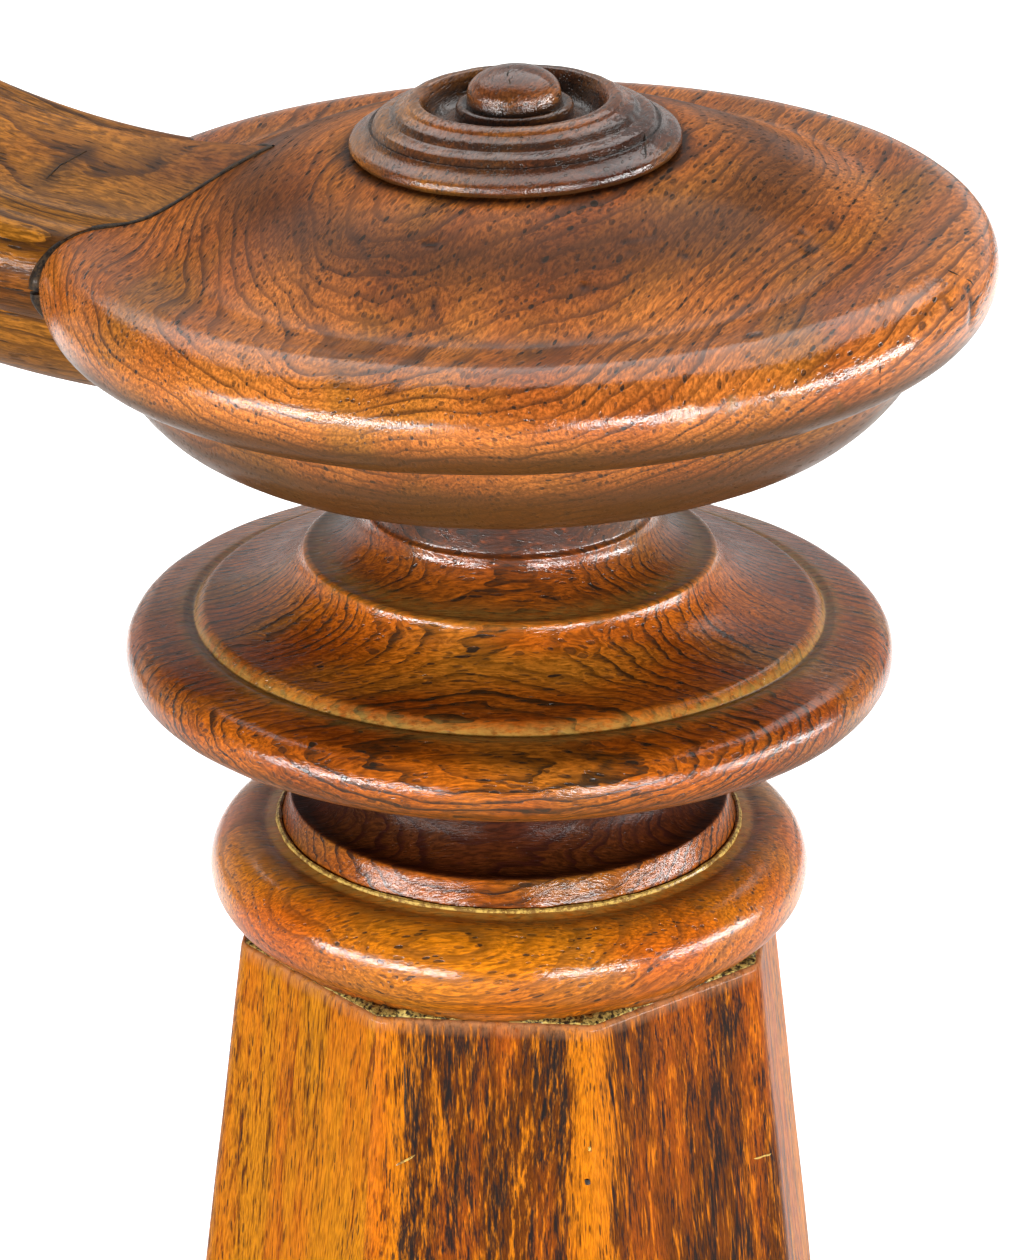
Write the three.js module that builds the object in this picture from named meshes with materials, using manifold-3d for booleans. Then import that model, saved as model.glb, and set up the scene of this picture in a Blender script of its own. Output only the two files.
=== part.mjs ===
// Newel post: an eight-sided tapered shaft on a plinth, a turned head and a round cap
// with the mitred start of its handrail. Millimetres, +Z up, origin on the floor at the
// shaft's axis, the shaft's front face towards -Y. Angles are in degrees.

import * as THREE from 'three';
import { mergeVertices } from 'three/addons/utils/BufferGeometryUtils.js';
import Module from 'manifold-3d';

const wasm = await Module();
wasm.setup();

// Plinth, its top board and the moulding round the foot of the shaft
const sides = 8;
const plinthAcrossFlats = 336;
const plinthHeight = 226;
const plinthWall = 25;
const baseBoardThickness = 20;
const topBoardThickness = 24;
const topBoardOverhang = 5;
const footMouldingHeight = 58;
const footMouldingProjection = 26;
const footMouldingLip = 5;

// Shaft: eight mitred staves
const shaftLength = 657;
const shaftTopCornerRadius = 69.4;
const shaftTaper = 0.12;
const staveThickness = 22;

// Collar ring on top of the shaft
const collarRingCentreRadius = 62.7;
const collarRingRadius = 11.3;
const collarFootRadius = 63.5;
const collarFootHeight = 3;
const collarSeatRadius = 57.2;
const collarSeatRise = 0.5;

// Turned capital: fillet, lower neck, ring, ogee, cove and upper neck
const filletFootRadius = 56.3;
const filletTopRadius = 53.9;
const filletHeight = 7.3;
const lowerNeckEdgeRadius = 52;
const lowerNeckRadius = 43.5;
const lowerNeckHeight = 24;
const ringCentreRadius = 85.8;
const ringRadius = 7.9;
const ringUndersideRise = 6.7;
const grooveRadius = 77.2;
const grooveRise = 8.9;
const ogeeTopRadius = 50.3;
const ogeeHeight = 16.7;
const coveRadius = 49.3;
const lipRadius = 35.2;
const coveHeight = 10.7;
const upperNeckRadius = 34.2;
const upperNeckHeight = 27;

// Cap
const capRadius = 114.3;
const capEdgeHeight = 25.6;
const capEdgeDepth = 13.4;
const capValleyRadius = 91;
const capValleyHeight = 12.1;
const capSeatRadius = 41;
const capSeatHeight = 29.8;
const capUndersideDrop = 38.7;
const capFlatRadius = 64.3;
const capBowlDrop = 27.7;
const capSocketDepth = 4.2;
const socketClearance = 0.6;

// How the cap stands on the neck: turned with the head, leaning and a little off centre
const headTurn = 5;
const capLean = 1.7;
const capLeanPivotDrop = 30;
const capShift = 2.9;

// Rosette on the crown of the cap
const rosetteRadius = 39.6;
const rosetteGrooveRadius = 34.3;
const rosetteShoulderRadius = 28.4;
const rosetteLipRadius = 24.2;
const rosetteLipHeight = 12.4;
const rosetteCupRadius = 21.6;
const rosetteCupFloor = 6;
const knobBeadRadius = 13.9;
const knobRadius = 11.1;
const knobBase = 13.1;
const knobDome = 6.4;

// Handrail
const railWidth = 87;
const mitreReach = 61.3;
const railTurn = 18;
const railLevelRun = 80;
const railRampRadius = 210;
const railRampAngle = 24;

// Gaps between neighbours
const jointGap = 0.3;

// Fineness of the round forms
const capSegments = 44;
const capitalSegments = 40;
const collarSegments = 36;
const rosetteSegments = 28;
const railSteps = 8;

const finishes = {
  shaft: { color: 0x9a4c12, roughness: 0.32, metalness: 0 },
  foot: { color: 0x7c3a12, roughness: 0.38, metalness: 0 },
  collar: { color: 0xa85a18, roughness: 0.28, metalness: 0 },
  capital: { color: 0x8c4516, roughness: 0.28, metalness: 0 },
  cap: { color: 0x8e431c, roughness: 0.25, metalness: 0 },
  rosette: { color: 0x6a3014, roughness: 0.3, metalness: 0 },
  rail: { color: 0x7a3a15, roughness: 0.28, metalness: 0 },
};

const radians = THREE.MathUtils.degToRad;
const flatPerCorner = Math.cos(Math.PI / sides);

// Points of an elliptical arc in a profile plane, angles in degrees from the outward direction
function arc(centreRadius, centreHeight, radiusOut, radiusUp, from, to, steps) {
  const points = [];
  for (let i = 0; i <= steps; i += 1) {
    const angle = radians(from + ((to - from) * i) / steps);
    const out = centreRadius + radiusOut * Math.cos(angle);
    const up = centreHeight + radiusUp * Math.sin(angle);
    points.push(new THREE.Vector2(out, up));
  }
  return points;
}

function at(radius, height) {
  return new THREE.Vector2(radius, height);
}

// A solid with its shared vertices merged and its empty triangles dropped
function toSolid(geometry) {
  const bare = geometry.clone();
  bare.deleteAttribute('normal');
  bare.deleteAttribute('uv');
  const merged = mergeVertices(bare, 1e-4);
  const corners = merged.index.array;
  const kept = [];
  for (let i = 0; i < corners.length; i += 3) {
    const [a, b, c] = corners.subarray(i, i + 3);
    if (a !== b && b !== c && c !== a) kept.push(a, b, c);
  }
  const vertProperties = new Float32Array(merged.getAttribute('position').array);
  const triVerts = new Uint32Array(kept);
  return new wasm.Manifold(new wasm.Mesh({ numProp: 3, vertProperties, triVerts }));
}

function toGeometry(solid) {
  const mesh = solid.getMesh();
  const geometry = new THREE.BufferGeometry();
  geometry.setAttribute('position', new THREE.BufferAttribute(mesh.vertProperties, 3));
  geometry.setIndex(new THREE.BufferAttribute(mesh.triVerts, 1));
  const faceted = geometry.toNonIndexed();
  faceted.computeVertexNormals();
  return faceted;
}

// A turned solid: the profile runs from the axis at the bottom, out and up to the axis at the top
function turned(profile, segments, startAngle = 0) {
  const geometry = new THREE.LatheGeometry(profile, segments, radians(startAngle));
  return geometry.rotateX(Math.PI / 2);
}

// An upright prism on a plan outline, from one height to another
function prism(outline, bottom, top) {
  const shape = new THREE.Shape(outline);
  const geometry = new THREE.ExtrudeGeometry(shape, { depth: top - bottom, bevelEnabled: false });
  return geometry.translate(0, 0, bottom);
}

function addPiece(parent, name, geometry, finish) {
  const piece = new THREE.Mesh(geometry, new THREE.MeshStandardMaterial(finish));
  piece.name = name;
  parent.add(piece);
  return piece;
}

// Eight-sided work. The first corner is set half a side round, so that a flat faces -Y.
const firstCorner = 180 / sides;

// An eight-sided ring from a closed profile in corner radii
function octagonal(profile) {
  return turned(profile, sides, firstCorner);
}

// The wedge of plan that one side takes, held back from each mitre by half the gap
function sideWedge(index, reach, bottom, top) {
  const middle = radians((360 / sides) * index - 90);
  const half = Math.PI / sides;
  const setBack = jointGap / 2 / Math.sin(half);
  const tip = at(setBack * Math.cos(middle), setBack * Math.sin(middle));
  const corners = [-half, half].map((turn) => {
    const angle = middle + turn;
    return at(tip.x + reach * Math.cos(angle), tip.y + reach * Math.sin(angle));
  });
  return prism([tip, ...corners], bottom, top);
}

// Cuts an eight-sided ring into its mitred lengths, one node each
function addSides(parent, name, ring, reach, bottom, top, finish) {
  const whole = toSolid(ring);
  for (let i = 0; i < sides; i += 1) {
    const length = whole.intersect(toSolid(sideWedge(i, reach, bottom, top)));
    addPiece(parent, `${name}_${i + 1}`, toGeometry(length), finish);
  }
}

// Heights of the joints up the post
const shaftBase = plinthHeight + topBoardThickness;
const shaftTop = shaftBase + shaftLength;
const collarHeight = collarFootHeight + 2 * collarRingRadius + collarSeatRise;
const capitalBase = shaftTop + collarHeight;
const shaftBaseCornerRadius = shaftTopCornerRadius + shaftTaper * shaftLength;
const plinthCornerRadius = plinthAcrossFlats / 2 / flatPerCorner;

// A flat eight-sided board between two heights
function board(cornerRadius, bottom, top) {
  return octagonal([at(0, bottom), at(cornerRadius, bottom), at(cornerRadius, top), at(0, top)]);
}

// Plinth: eight boards on edge between a base board and a closing top board
function addPlinth(parent) {
  const inner = plinthCornerRadius - plinthWall / flatPerCorner;
  const wall = [
    at(inner, baseBoardThickness),
    at(plinthCornerRadius, baseBoardThickness),
    at(plinthCornerRadius, plinthHeight),
    at(inner, plinthHeight),
    at(inner, baseBoardThickness),
  ];
  const reach = 2 * plinthCornerRadius;
  const base = board(plinthCornerRadius, 0, baseBoardThickness);
  const top = board(plinthCornerRadius + topBoardOverhang / flatPerCorner, plinthHeight, shaftBase);
  addPiece(parent, 'plinth_base', base, finishes.foot);
  addSides(parent, 'plinth_board', octagonal(wall), reach, baseBoardThickness, plinthHeight, finishes.foot);
  addPiece(parent, 'plinth_top', top, finishes.foot);
}

// Corner radius of the shaft's outside at a height above its foot
function shaftCornerRadius(rise) {
  return shaftBaseCornerRadius - shaftTaper * rise;
}

// Moulding round the shaft's foot: an upright foot, a cyma and a small lip against the shaft
function addFootMoulding(parent) {
  const out = shaftBaseCornerRadius + (jointGap + footMouldingProjection) / flatPerCorner;
  const innerFoot = shaftBaseCornerRadius + jointGap / flatPerCorner;
  const innerTop = shaftCornerRadius(footMouldingHeight) + jointGap / flatPerCorner;
  const lipEdge = innerTop + footMouldingLip;
  const footEdge = footMouldingHeight * 0.3;
  const rise = footMouldingHeight - footEdge;
  const cyma = new THREE.CubicBezierCurve(
    at(out - footMouldingLip / 2, footEdge),
    at(out - footMouldingLip / 2, footEdge + rise * 0.6),
    at(lipEdge + footMouldingLip, footEdge + rise * 0.25),
    at(lipEdge, footMouldingHeight - footMouldingLip),
  );
  const profile = [
    at(innerFoot, 0),
    at(out, 0),
    at(out, footEdge),
    ...cyma.getPoints(7),
    at(lipEdge, footMouldingHeight),
    at(innerTop, footMouldingHeight),
    at(innerFoot, 0),
  ];
  const ring = octagonal(profile).translate(0, 0, shaftBase);
  const top = shaftBase + footMouldingHeight;
  addSides(parent, 'foot_moulding', ring, 2 * out, shaftBase, top, finishes.foot);
}

// Shaft: an eight-sided tapered tube cut along its corners into staves
function addShaft(parent) {
  const wall = staveThickness / flatPerCorner;
  const profile = [
    at(shaftBaseCornerRadius - wall, shaftBase),
    at(shaftBaseCornerRadius, shaftBase),
    at(shaftTopCornerRadius, shaftTop),
    at(shaftTopCornerRadius - wall, shaftTop),
    at(shaftBaseCornerRadius - wall, shaftBase),
  ];
  const reach = 2 * shaftBaseCornerRadius;
  addSides(parent, 'stave', octagonal(profile), reach, shaftBase, shaftTop, finishes.shaft);
}

function addCollar(parent) {
  const ringHeight = collarFootHeight + collarRingRadius;
  const profile = [
    at(0, 0),
    at(collarFootRadius, 0),
    ...arc(collarRingCentreRadius, ringHeight, collarRingRadius, collarRingRadius, -80, 100, 12),
    at(collarSeatRadius, collarHeight),
    at(0, collarHeight),
  ];
  const piece = addPiece(parent, 'collar', turned(profile, collarSegments), finishes.collar);
  piece.position.z = shaftTop;
}

// Heights in the capital above its own foot
const ringBase = filletHeight + lowerNeckHeight + ringUndersideRise;
const ringHeight = ringBase + ringRadius;
const grooveHeight = ringHeight + grooveRise;
const ogeeTop = grooveHeight + ogeeHeight;
const lipHeight = ogeeTop + coveHeight;
const neckTop = lipHeight + upperNeckHeight;

function addCapital(parent) {
  const neckMiddle = filletHeight + lowerNeckHeight / 2;
  const neckDepth = lowerNeckEdgeRadius - lowerNeckRadius;
  const rollRadius = grooveRadius - 1.2;
  const ogeeSpan = rollRadius - ogeeTopRadius;
  const ogee = new THREE.CubicBezierCurve(
    at(rollRadius - 1.5, grooveHeight + ogeeHeight * 0.18),
    at(rollRadius - ogeeSpan * 0.54, grooveHeight + ogeeHeight * 0.29),
    at(ogeeTopRadius + ogeeSpan * 0.05, grooveHeight + ogeeHeight * 0.59),
    at(ogeeTopRadius, ogeeTop),
  );
  const profile = [
    at(0, 0),
    at(filletFootRadius, 0),
    at(filletTopRadius, filletHeight),
    ...arc(lowerNeckEdgeRadius, neckMiddle, neckDepth, lowerNeckHeight / 2, 270, 90, 6),
    ...arc(ringCentreRadius, ringHeight, ringRadius, ringRadius, -90, 75, 9),
    at(grooveRadius + 2, grooveHeight + 0.6),
    at(grooveRadius, grooveHeight),
    at(rollRadius, grooveHeight + ogeeHeight * 0.1),
    ...ogee.getPoints(6),
    ...arc(coveRadius, lipHeight, coveRadius - lipRadius, coveHeight - 0.5, -90, -180, 5),
    at(upperNeckRadius, lipHeight + 0.8),
    at(upperNeckRadius, neckTop),
    at(0, neckTop),
  ];
  const piece = addPiece(parent, 'capital', turned(profile, capitalSegments), finishes.capital);
  piece.position.z = capitalBase;
}

// Cap profile in its own frame, zero at the middle of the rounded edge
const capEdgeRadius = capRadius - capEdgeDepth;
const capHalfEdge = capEdgeHeight / 2;

function capProfile() {
  const bowlCentre = capBowlDrop - capUndersideDrop;
  const bowlReach = capEdgeRadius - capFlatRadius - 3;
  const crown = new THREE.CubicBezierCurve(
    at(capValleyRadius, capValleyHeight),
    at(capValleyRadius - 9, capValleyHeight),
    at(capSeatRadius + 25, capSeatHeight - 2.3),
    at(capSeatRadius, capSeatHeight),
  );
  return [
    at(0, -capUndersideDrop),
    ...arc(capFlatRadius, bowlCentre, bowlReach, capBowlDrop, -90, -6, 6),
    ...arc(capEdgeRadius, 0, capEdgeDepth, capHalfEdge, -102, 108, 14),
    ...crown.getPoints(7),
    at(0, capSeatHeight),
  ];
}

// Plan of the mitre, in a frame whose +X runs along the handrail from the cap's axis
const railHalfWidth = railWidth / 2;
const mitreEdgeReach = Math.sqrt(capRadius ** 2 - railHalfWidth ** 2);
const mitreSlope = (mitreEdgeReach - mitreReach) / railHalfWidth;

// Half width of the rail where the mitre crosses a given radius of the cap
function railAcross(radius) {
  const a = 1 + mitreSlope ** 2;
  const b = mitreReach * mitreSlope;
  const c = mitreReach ** 2 - radius ** 2;
  return (-b + Math.sqrt(Math.max(b * b - a * c, 0))) / a;
}

// The upright wedge that the rail takes out of the cap, its faces moved outward by a set-back
function mitreWedge(setBack) {
  const reach = 2 * capRadius;
  const slant = Math.hypot(1, mitreSlope);
  const tip = mitreReach + setBack * slant;
  const far = reach / mitreSlope;
  return prism([at(tip, 0), at(tip + reach, -far), at(tip + reach, far)], -capRadius, capRadius);
}

// Section of the rail, worked out from the cap's profile so that every member meets on the mitre
function railSection() {
  const side = [];
  const profile = capProfile();
  profile.forEach((point, i) => {
    const next = profile[i + 1];
    if (point.x >= mitreReach) side.push(at(railAcross(point.x), point.y));
    if (next && (point.x - mitreReach) * (next.x - mitreReach) < 0) {
      const share = (mitreReach - point.x) / (next.x - point.x);
      side.push(at(0, point.y + (next.y - point.y) * share));
    }
  });
  const mirrored = side.slice(1, -1).reverse().map((point) => at(-point.x, point.y));
  return new THREE.Shape([...side, ...mirrored]);
}

// Lifts everything past the level run onto a ramp that curves upward
function bendUp(geometry) {
  const places = geometry.getAttribute('position');
  for (let i = 0; i < places.count; i += 1) {
    const past = places.getX(i) - railLevelRun;
    if (past > 0) {
      const angle = past / railRampRadius;
      const arm = railRampRadius - places.getZ(i);
      places.setX(i, railLevelRun + arm * Math.sin(angle));
      places.setZ(i, railRampRadius - arm * Math.cos(angle));
    }
  }
  return geometry;
}

function addHandrail(parent) {
  const start = mitreReach / 2;
  const depth = railLevelRun + railRampRadius * radians(railRampAngle) - start;
  const sweep = { depth, steps: railSteps, bevelEnabled: false };
  const straight = new THREE.ExtrudeGeometry(railSection(), sweep);
  const along = new THREE.Vector3(1, 0, 0);
  const across = new THREE.Vector3(0, 1, 0);
  const up = new THREE.Vector3(0, 0, 1);
  straight.applyMatrix4(new THREE.Matrix4().makeBasis(across, up, along));
  const swept = toSolid(bendUp(straight.translate(start, 0, 0)));
  const rail = swept.intersect(toSolid(mitreWedge(jointGap)));
  const piece = addPiece(parent, 'handrail', toGeometry(rail), finishes.rail);
  piece.rotation.z = radians(180 - railTurn);
}

// The cap without the rail's wedge and without the level socket for the neck
function addCap(parent, intoCap) {
  const whole = toSolid(turned(capProfile(), capSegments));
  const wedge = toSolid(mitreWedge(0).rotateZ(radians(180 - railTurn)));
  const socketTop = capitalBase + neckTop + jointGap;
  const socketRadius = upperNeckRadius + socketClearance;
  const socketHeight = 2 * capUndersideDrop;
  const socket = new THREE.CylinderGeometry(socketRadius, socketRadius, socketHeight, capitalSegments);
  socket.rotateX(Math.PI / 2).translate(0, 0, socketTop - socketHeight / 2).applyMatrix4(intoCap);
  const cut = whole.subtract(wedge).subtract(toSolid(socket));
  addPiece(parent, 'cap', toGeometry(cut), finishes.cap);
}

// Rosette: base band, shoulder, lip, a cup and the knob that stands in it
function addRosette(parent) {
  const band = new THREE.CubicBezierCurve(
    at(rosetteRadius - 0.3, 2.6),
    at(rosetteRadius - 1.4, 4.2),
    at(rosetteGrooveRadius + 1.6, 3.6),
    at(rosetteGrooveRadius + 0.4, 5.9),
  );
  const profile = [
    at(0, 0),
    at(rosetteRadius - 0.9, 0),
    at(rosetteRadius, 1.2),
    ...band.getPoints(4),
    at(rosetteGrooveRadius - 0.1, 5.4),
    at(rosetteGrooveRadius - 1.2, 7.3),
    at(rosetteGrooveRadius - 3, 7.9),
    at(rosetteShoulderRadius + 1.3, 8.2),
    at(rosetteShoulderRadius, 9.9),
    at(rosetteShoulderRadius - 1.1, 10.3),
    at(rosetteLipRadius + 1.9, rosetteLipHeight - 1.5),
    at(rosetteLipRadius + 1.2, rosetteLipHeight - 0.3),
    at(rosetteLipRadius, rosetteLipHeight),
    at(rosetteCupRadius + 0.9, rosetteLipHeight - 0.3),
    at(rosetteCupRadius, rosetteLipHeight - 1.6),
    at(rosetteCupRadius - 1.8, rosetteCupFloor + 0.8),
    at(rosetteCupRadius - 4, rosetteCupFloor),
    at(knobBeadRadius + 0.2, rosetteCupFloor + 1.4),
    at(knobBeadRadius, rosetteCupFloor + 3.8),
    at(knobBeadRadius - 1.1, rosetteCupFloor + 4.9),
    at(knobRadius + 0.3, rosetteCupFloor + 4.3),
    ...arc(0, knobBase, knobRadius, knobDome, 0, 80, 6),
    at(0, knobBase + knobDome),
  ];
  const piece = addPiece(parent, 'rosette', turned(profile, rosetteSegments), finishes.rosette);
  piece.position.z = capSeatHeight + jointGap;
}

const post = new THREE.Group();
addPlinth(post);
addFootMoulding(post);
addShaft(post);
addCollar(post);
addCapital(post);

// The head stands a little out of line with the shaft's faces, and the cap leans to its rail
const head = new THREE.Group();
head.rotation.z = radians(headTurn);
post.add(head);

const pivot = new THREE.Group();
const capHeight = capitalBase + neckTop - capSocketDepth + capUndersideDrop;
pivot.position.set(capShift, 0, capHeight - capLeanPivotDrop);
pivot.rotation.y = radians(-capLean);
head.add(pivot);

const crown = new THREE.Group();
crown.position.z = capLeanPivotDrop;
pivot.add(crown);

pivot.updateMatrix();
crown.updateMatrix();
const intoCap = pivot.matrix.clone().multiply(crown.matrix).invert();
addCap(crown, intoCap);
addRosette(crown);
addHandrail(crown);

export default post;
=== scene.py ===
# Newel post, dressed: finely turned head, cap with its mitred rail, staves, mouldings and boards.
# Lengths are millimetres and angles degrees until a mesh is made; the meshes are in metres.
import math

import bpy
import numpy as np
from mathutils import Euler, Matrix, Vector, noise


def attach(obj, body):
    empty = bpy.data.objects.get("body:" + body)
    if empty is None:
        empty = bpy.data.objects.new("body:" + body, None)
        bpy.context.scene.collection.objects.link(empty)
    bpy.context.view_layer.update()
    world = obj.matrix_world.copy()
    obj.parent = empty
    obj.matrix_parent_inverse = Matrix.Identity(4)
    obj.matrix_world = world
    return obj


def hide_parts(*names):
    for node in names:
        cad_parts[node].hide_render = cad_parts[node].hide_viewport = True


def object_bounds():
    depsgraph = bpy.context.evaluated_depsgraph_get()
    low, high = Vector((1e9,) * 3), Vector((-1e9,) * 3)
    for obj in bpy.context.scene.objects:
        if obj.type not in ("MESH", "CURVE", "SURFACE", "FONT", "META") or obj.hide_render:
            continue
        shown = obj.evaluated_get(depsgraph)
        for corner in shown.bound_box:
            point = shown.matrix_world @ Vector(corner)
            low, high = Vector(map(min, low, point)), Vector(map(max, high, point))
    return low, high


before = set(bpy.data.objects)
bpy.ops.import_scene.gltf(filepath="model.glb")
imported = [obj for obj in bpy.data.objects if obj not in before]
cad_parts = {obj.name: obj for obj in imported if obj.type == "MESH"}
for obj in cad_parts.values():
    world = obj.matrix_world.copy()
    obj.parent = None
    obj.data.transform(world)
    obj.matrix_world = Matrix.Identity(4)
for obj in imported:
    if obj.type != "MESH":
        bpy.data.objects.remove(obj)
cad_low, cad_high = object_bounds()

MM = 0.001

# Sizes shared with the solids
SIDES = 8
HALF_SIDE = math.pi / SIDES
PER_CORNER = math.cos(HALF_SIDE)
PLINTH_ACROSS_FLATS = 336
PLINTH_HEIGHT = 226
PLINTH_WALL = 25
BASE_BOARD = 20
TOP_BOARD = 24
TOP_OVERHANG = 5
FOOT_HEIGHT = 58
FOOT_PROJECTION = 26
FOOT_LIP = 5
SHAFT_LENGTH = 657
SHAFT_TOP_CORNER = 69.4
SHAFT_TAPER = 0.12
STAVE_THICKNESS = 22
COLLAR_CENTRE = 62.7
COLLAR_RING = 11.3
COLLAR_FOOT_RADIUS = 63.5
COLLAR_FOOT = 3
COLLAR_SEAT = 57.2
COLLAR_SEAT_RISE = 0.5
FILLET_FOOT = 56.3
FILLET_TOP = 53.9
FILLET_HEIGHT = 7.3
LOWER_NECK_EDGE = 52
LOWER_NECK = 43.5
LOWER_NECK_HEIGHT = 24
RING_CENTRE = 85.8
RING = 7.9
RING_UNDERSIDE = 6.7
GROOVE = 77.2
GROOVE_RISE = 8.9
OGEE_TOP = 50.3
OGEE_HEIGHT = 16.7
COVE = 49.3
LIP = 35.2
COVE_HEIGHT = 10.7
UPPER_NECK = 34.2
UPPER_NECK_HEIGHT = 27
CAP_RADIUS = 114.3
CAP_EDGE_HEIGHT = 25.6
CAP_EDGE_DEPTH = 13.4
CAP_VALLEY = 91
CAP_VALLEY_HEIGHT = 12.1
CAP_SEAT = 41
CAP_SEAT_HEIGHT = 29.8
CAP_UNDERSIDE = 38.7
CAP_FLAT = 64.3
CAP_BOWL = 27.7
CAP_SOCKET = 4.2
HEAD_TURN = 5
CAP_LEAN = 1.7
LEAN_PIVOT = 30
CAP_SHIFT = 2.9
ROSETTE = 39.6
ROSETTE_GROOVE = 34.3
ROSETTE_SHOULDER = 28.4
ROSETTE_LIP = 24.2
ROSETTE_LIP_HEIGHT = 12.4
CUP = 21.6
CUP_FLOOR = 6
KNOB_BEAD = 13.9
KNOB = 11.1
KNOB_BASE = 13.1
KNOB_DOME = 6.4
RAIL_WIDTH = 87
MITRE_REACH = 61.3
RAIL_TURN = 18
RAIL_LEVEL = 80
RAIL_RAMP_RADIUS = 210
RAIL_RAMP_ANGLE = 24
GAP = 0.3

# Heights up the post
SHAFT_BASE = PLINTH_HEIGHT + TOP_BOARD
SHAFT_TOP = SHAFT_BASE + SHAFT_LENGTH
COLLAR_HEIGHT = COLLAR_FOOT + 2 * COLLAR_RING + COLLAR_SEAT_RISE
CAPITAL_BASE = SHAFT_TOP + COLLAR_HEIGHT
SHAFT_BASE_CORNER = SHAFT_TOP_CORNER + SHAFT_TAPER * SHAFT_LENGTH
RING_HEIGHT = FILLET_HEIGHT + LOWER_NECK_HEIGHT + RING_UNDERSIDE + RING
GROOVE_HEIGHT = RING_HEIGHT + GROOVE_RISE
OGEE_TOP_HEIGHT = GROOVE_HEIGHT + OGEE_HEIGHT
LIP_HEIGHT = OGEE_TOP_HEIGHT + COVE_HEIGHT
NECK_TOP = LIP_HEIGHT + UPPER_NECK_HEIGHT
CAP_PLANE = CAPITAL_BASE + NECK_TOP - CAP_SOCKET + CAP_UNDERSIDE

# Where the camera stands: its distance, elevation, roll, and aim beside the collar's middle
PHOTO_DISTANCE = 1500
PHOTO_ELEVATION = 0.403
PHOTO_ROLL = 0.003
AIM_ACROSS = 0.612
AIM_UP = 60.914
COLLAR_MIDDLE = 921.3
FOCAL_PIXELS = 6136.9
IMAGE_HEIGHT = 1260
IMAGE_WIDTH = 1024
SENSOR = 36


# Camera

head = Matrix.Rotation(math.radians(HEAD_TURN), 4, "Z")
camera_data = bpy.data.cameras.new("camera")
camera = bpy.data.objects.new("camera", camera_data)
bpy.context.scene.collection.objects.link(camera)
bpy.context.scene.camera = camera
camera_data.sensor_width = SENSOR
camera_data.lens = FOCAL_PIXELS / IMAGE_HEIGHT * SENSOR
camera_data.clip_start = 0.05
camera_data.clip_end = 60
reach = PHOTO_DISTANCE * math.cos(PHOTO_ELEVATION)
rise = AIM_UP + PHOTO_DISTANCE * math.sin(PHOTO_ELEVATION)
back = Vector((0, -math.cos(PHOTO_ELEVATION), math.sin(PHOTO_ELEVATION)))
level = Vector((1, 0, 0))
upright = back.cross(level)
tilt = math.cos(PHOTO_ROLL) * level + math.sin(PHOTO_ROLL) * upright
stand = -math.sin(PHOTO_ROLL) * level + math.cos(PHOTO_ROLL) * upright
axes = Matrix((tilt, stand, back)).transposed().to_4x4()
place = Matrix.Translation(Vector((AIM_ACROSS, -reach, rise + COLLAR_MIDDLE)) * MM)
camera.matrix_world = head @ place @ axes


def sight_hit(piece, across, down):
    """Where the sight line through a pixel of the photograph meets a piece, in metres."""
    bpy.context.view_layer.update()
    aim = Vector((
        (across - IMAGE_WIDTH / 2) / FOCAL_PIXELS,
        (IMAGE_HEIGHT / 2 - down) / FOCAL_PIXELS,
        -1,
    ))
    found, point, normal, _ = piece.ray_cast(camera.location, (camera.matrix_world.to_3x3() @ aim).normalized())
    if not found:
        raise ValueError(f"{piece.name} isn't at pixel {across}, {down}")
    return np.array(point), np.array(normal)


def distance_to_line(points, corners):
    """Distance of each point from a line of corners."""
    nearest = np.linalg.norm(points - corners[0], axis=1)
    for a, b in zip(corners[:-1], corners[1:]):
        along = b - a
        share = np.clip((points - a) @ along / max(along @ along, 1e-12), 0, 1)
        nearest = np.minimum(nearest, np.linalg.norm(points - a - share[:, None] * along, axis=1))
    return nearest


def flaw(piece, pixels, width, depth=0.0, **marks):
    """A dent, pit or stain along a line of pixels: its half width and depth in millimetres."""
    hits = [sight_hit(piece, *pixel) for pixel in pixels]
    corners = np.array([place for place, _ in hits])
    mesh = piece.data
    points = np.empty(len(mesh.vertices) * 3, np.float32)
    mesh.vertices.foreach_get("co", points)
    points = points.reshape(-1, 3).astype(float)
    strength = np.exp(-((distance_to_line(points, corners) / (width * MM)) ** 2))
    if depth:
        points -= hits[0][1] * (strength * depth * MM)[:, None]
        mesh.vertices.foreach_set("co", points.astype(np.float32).ravel())
        mesh.update()
    for mark, amount in marks.items():
        layer = mesh.attributes[mark]
        values = np.empty(len(mesh.vertices), np.float32)
        layer.data.foreach_get("value", values)
        layer.data.foreach_set("value", np.clip(values + amount * strength, 0, 1).astype(np.float32))


# Profiles

def arc(centre_radius, centre_height, radius_out, radius_up, start, end, steps):
    angles = np.radians(np.linspace(start, end, steps + 1))
    out = centre_radius + radius_out * np.cos(angles)
    return np.column_stack((out, centre_height + radius_up * np.sin(angles)))


def bezier(first, second, third, last, steps):
    t = np.linspace(0, 1, steps + 1)[:, None]
    points = [np.array(p, float) for p in (first, second, third, last)]
    weights = ((1 - t) ** 3, 3 * t * (1 - t) ** 2, 3 * t * t * (1 - t), t ** 3)
    return sum(w * p for w, p in zip(weights, points))


def rounded(points, radius):
    """The profile with its sharp corners worn round."""
    points = np.array(points, float)
    kept = [points[0]]
    for before, here, after in zip(points[:-2], points[1:-1], points[2:]):
        back, on = before - here, after - here
        lengths = np.linalg.norm(back), np.linalg.norm(on)
        turn = math.pi - math.acos(np.clip(back @ on / max(lengths[0] * lengths[1], 1e-9), -1, 1))
        if turn < math.radians(22) or min(lengths) < 0.05:
            kept.append(here)
            continue
        cut = min(radius, 0.45 * lengths[0], 0.45 * lengths[1])
        start = here + back / lengths[0] * cut
        end = here + on / lengths[1] * cut
        kept += [start, 0.25 * start + 0.5 * here + 0.25 * end, end]
    kept.append(points[-1])
    return np.array(kept)


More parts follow.
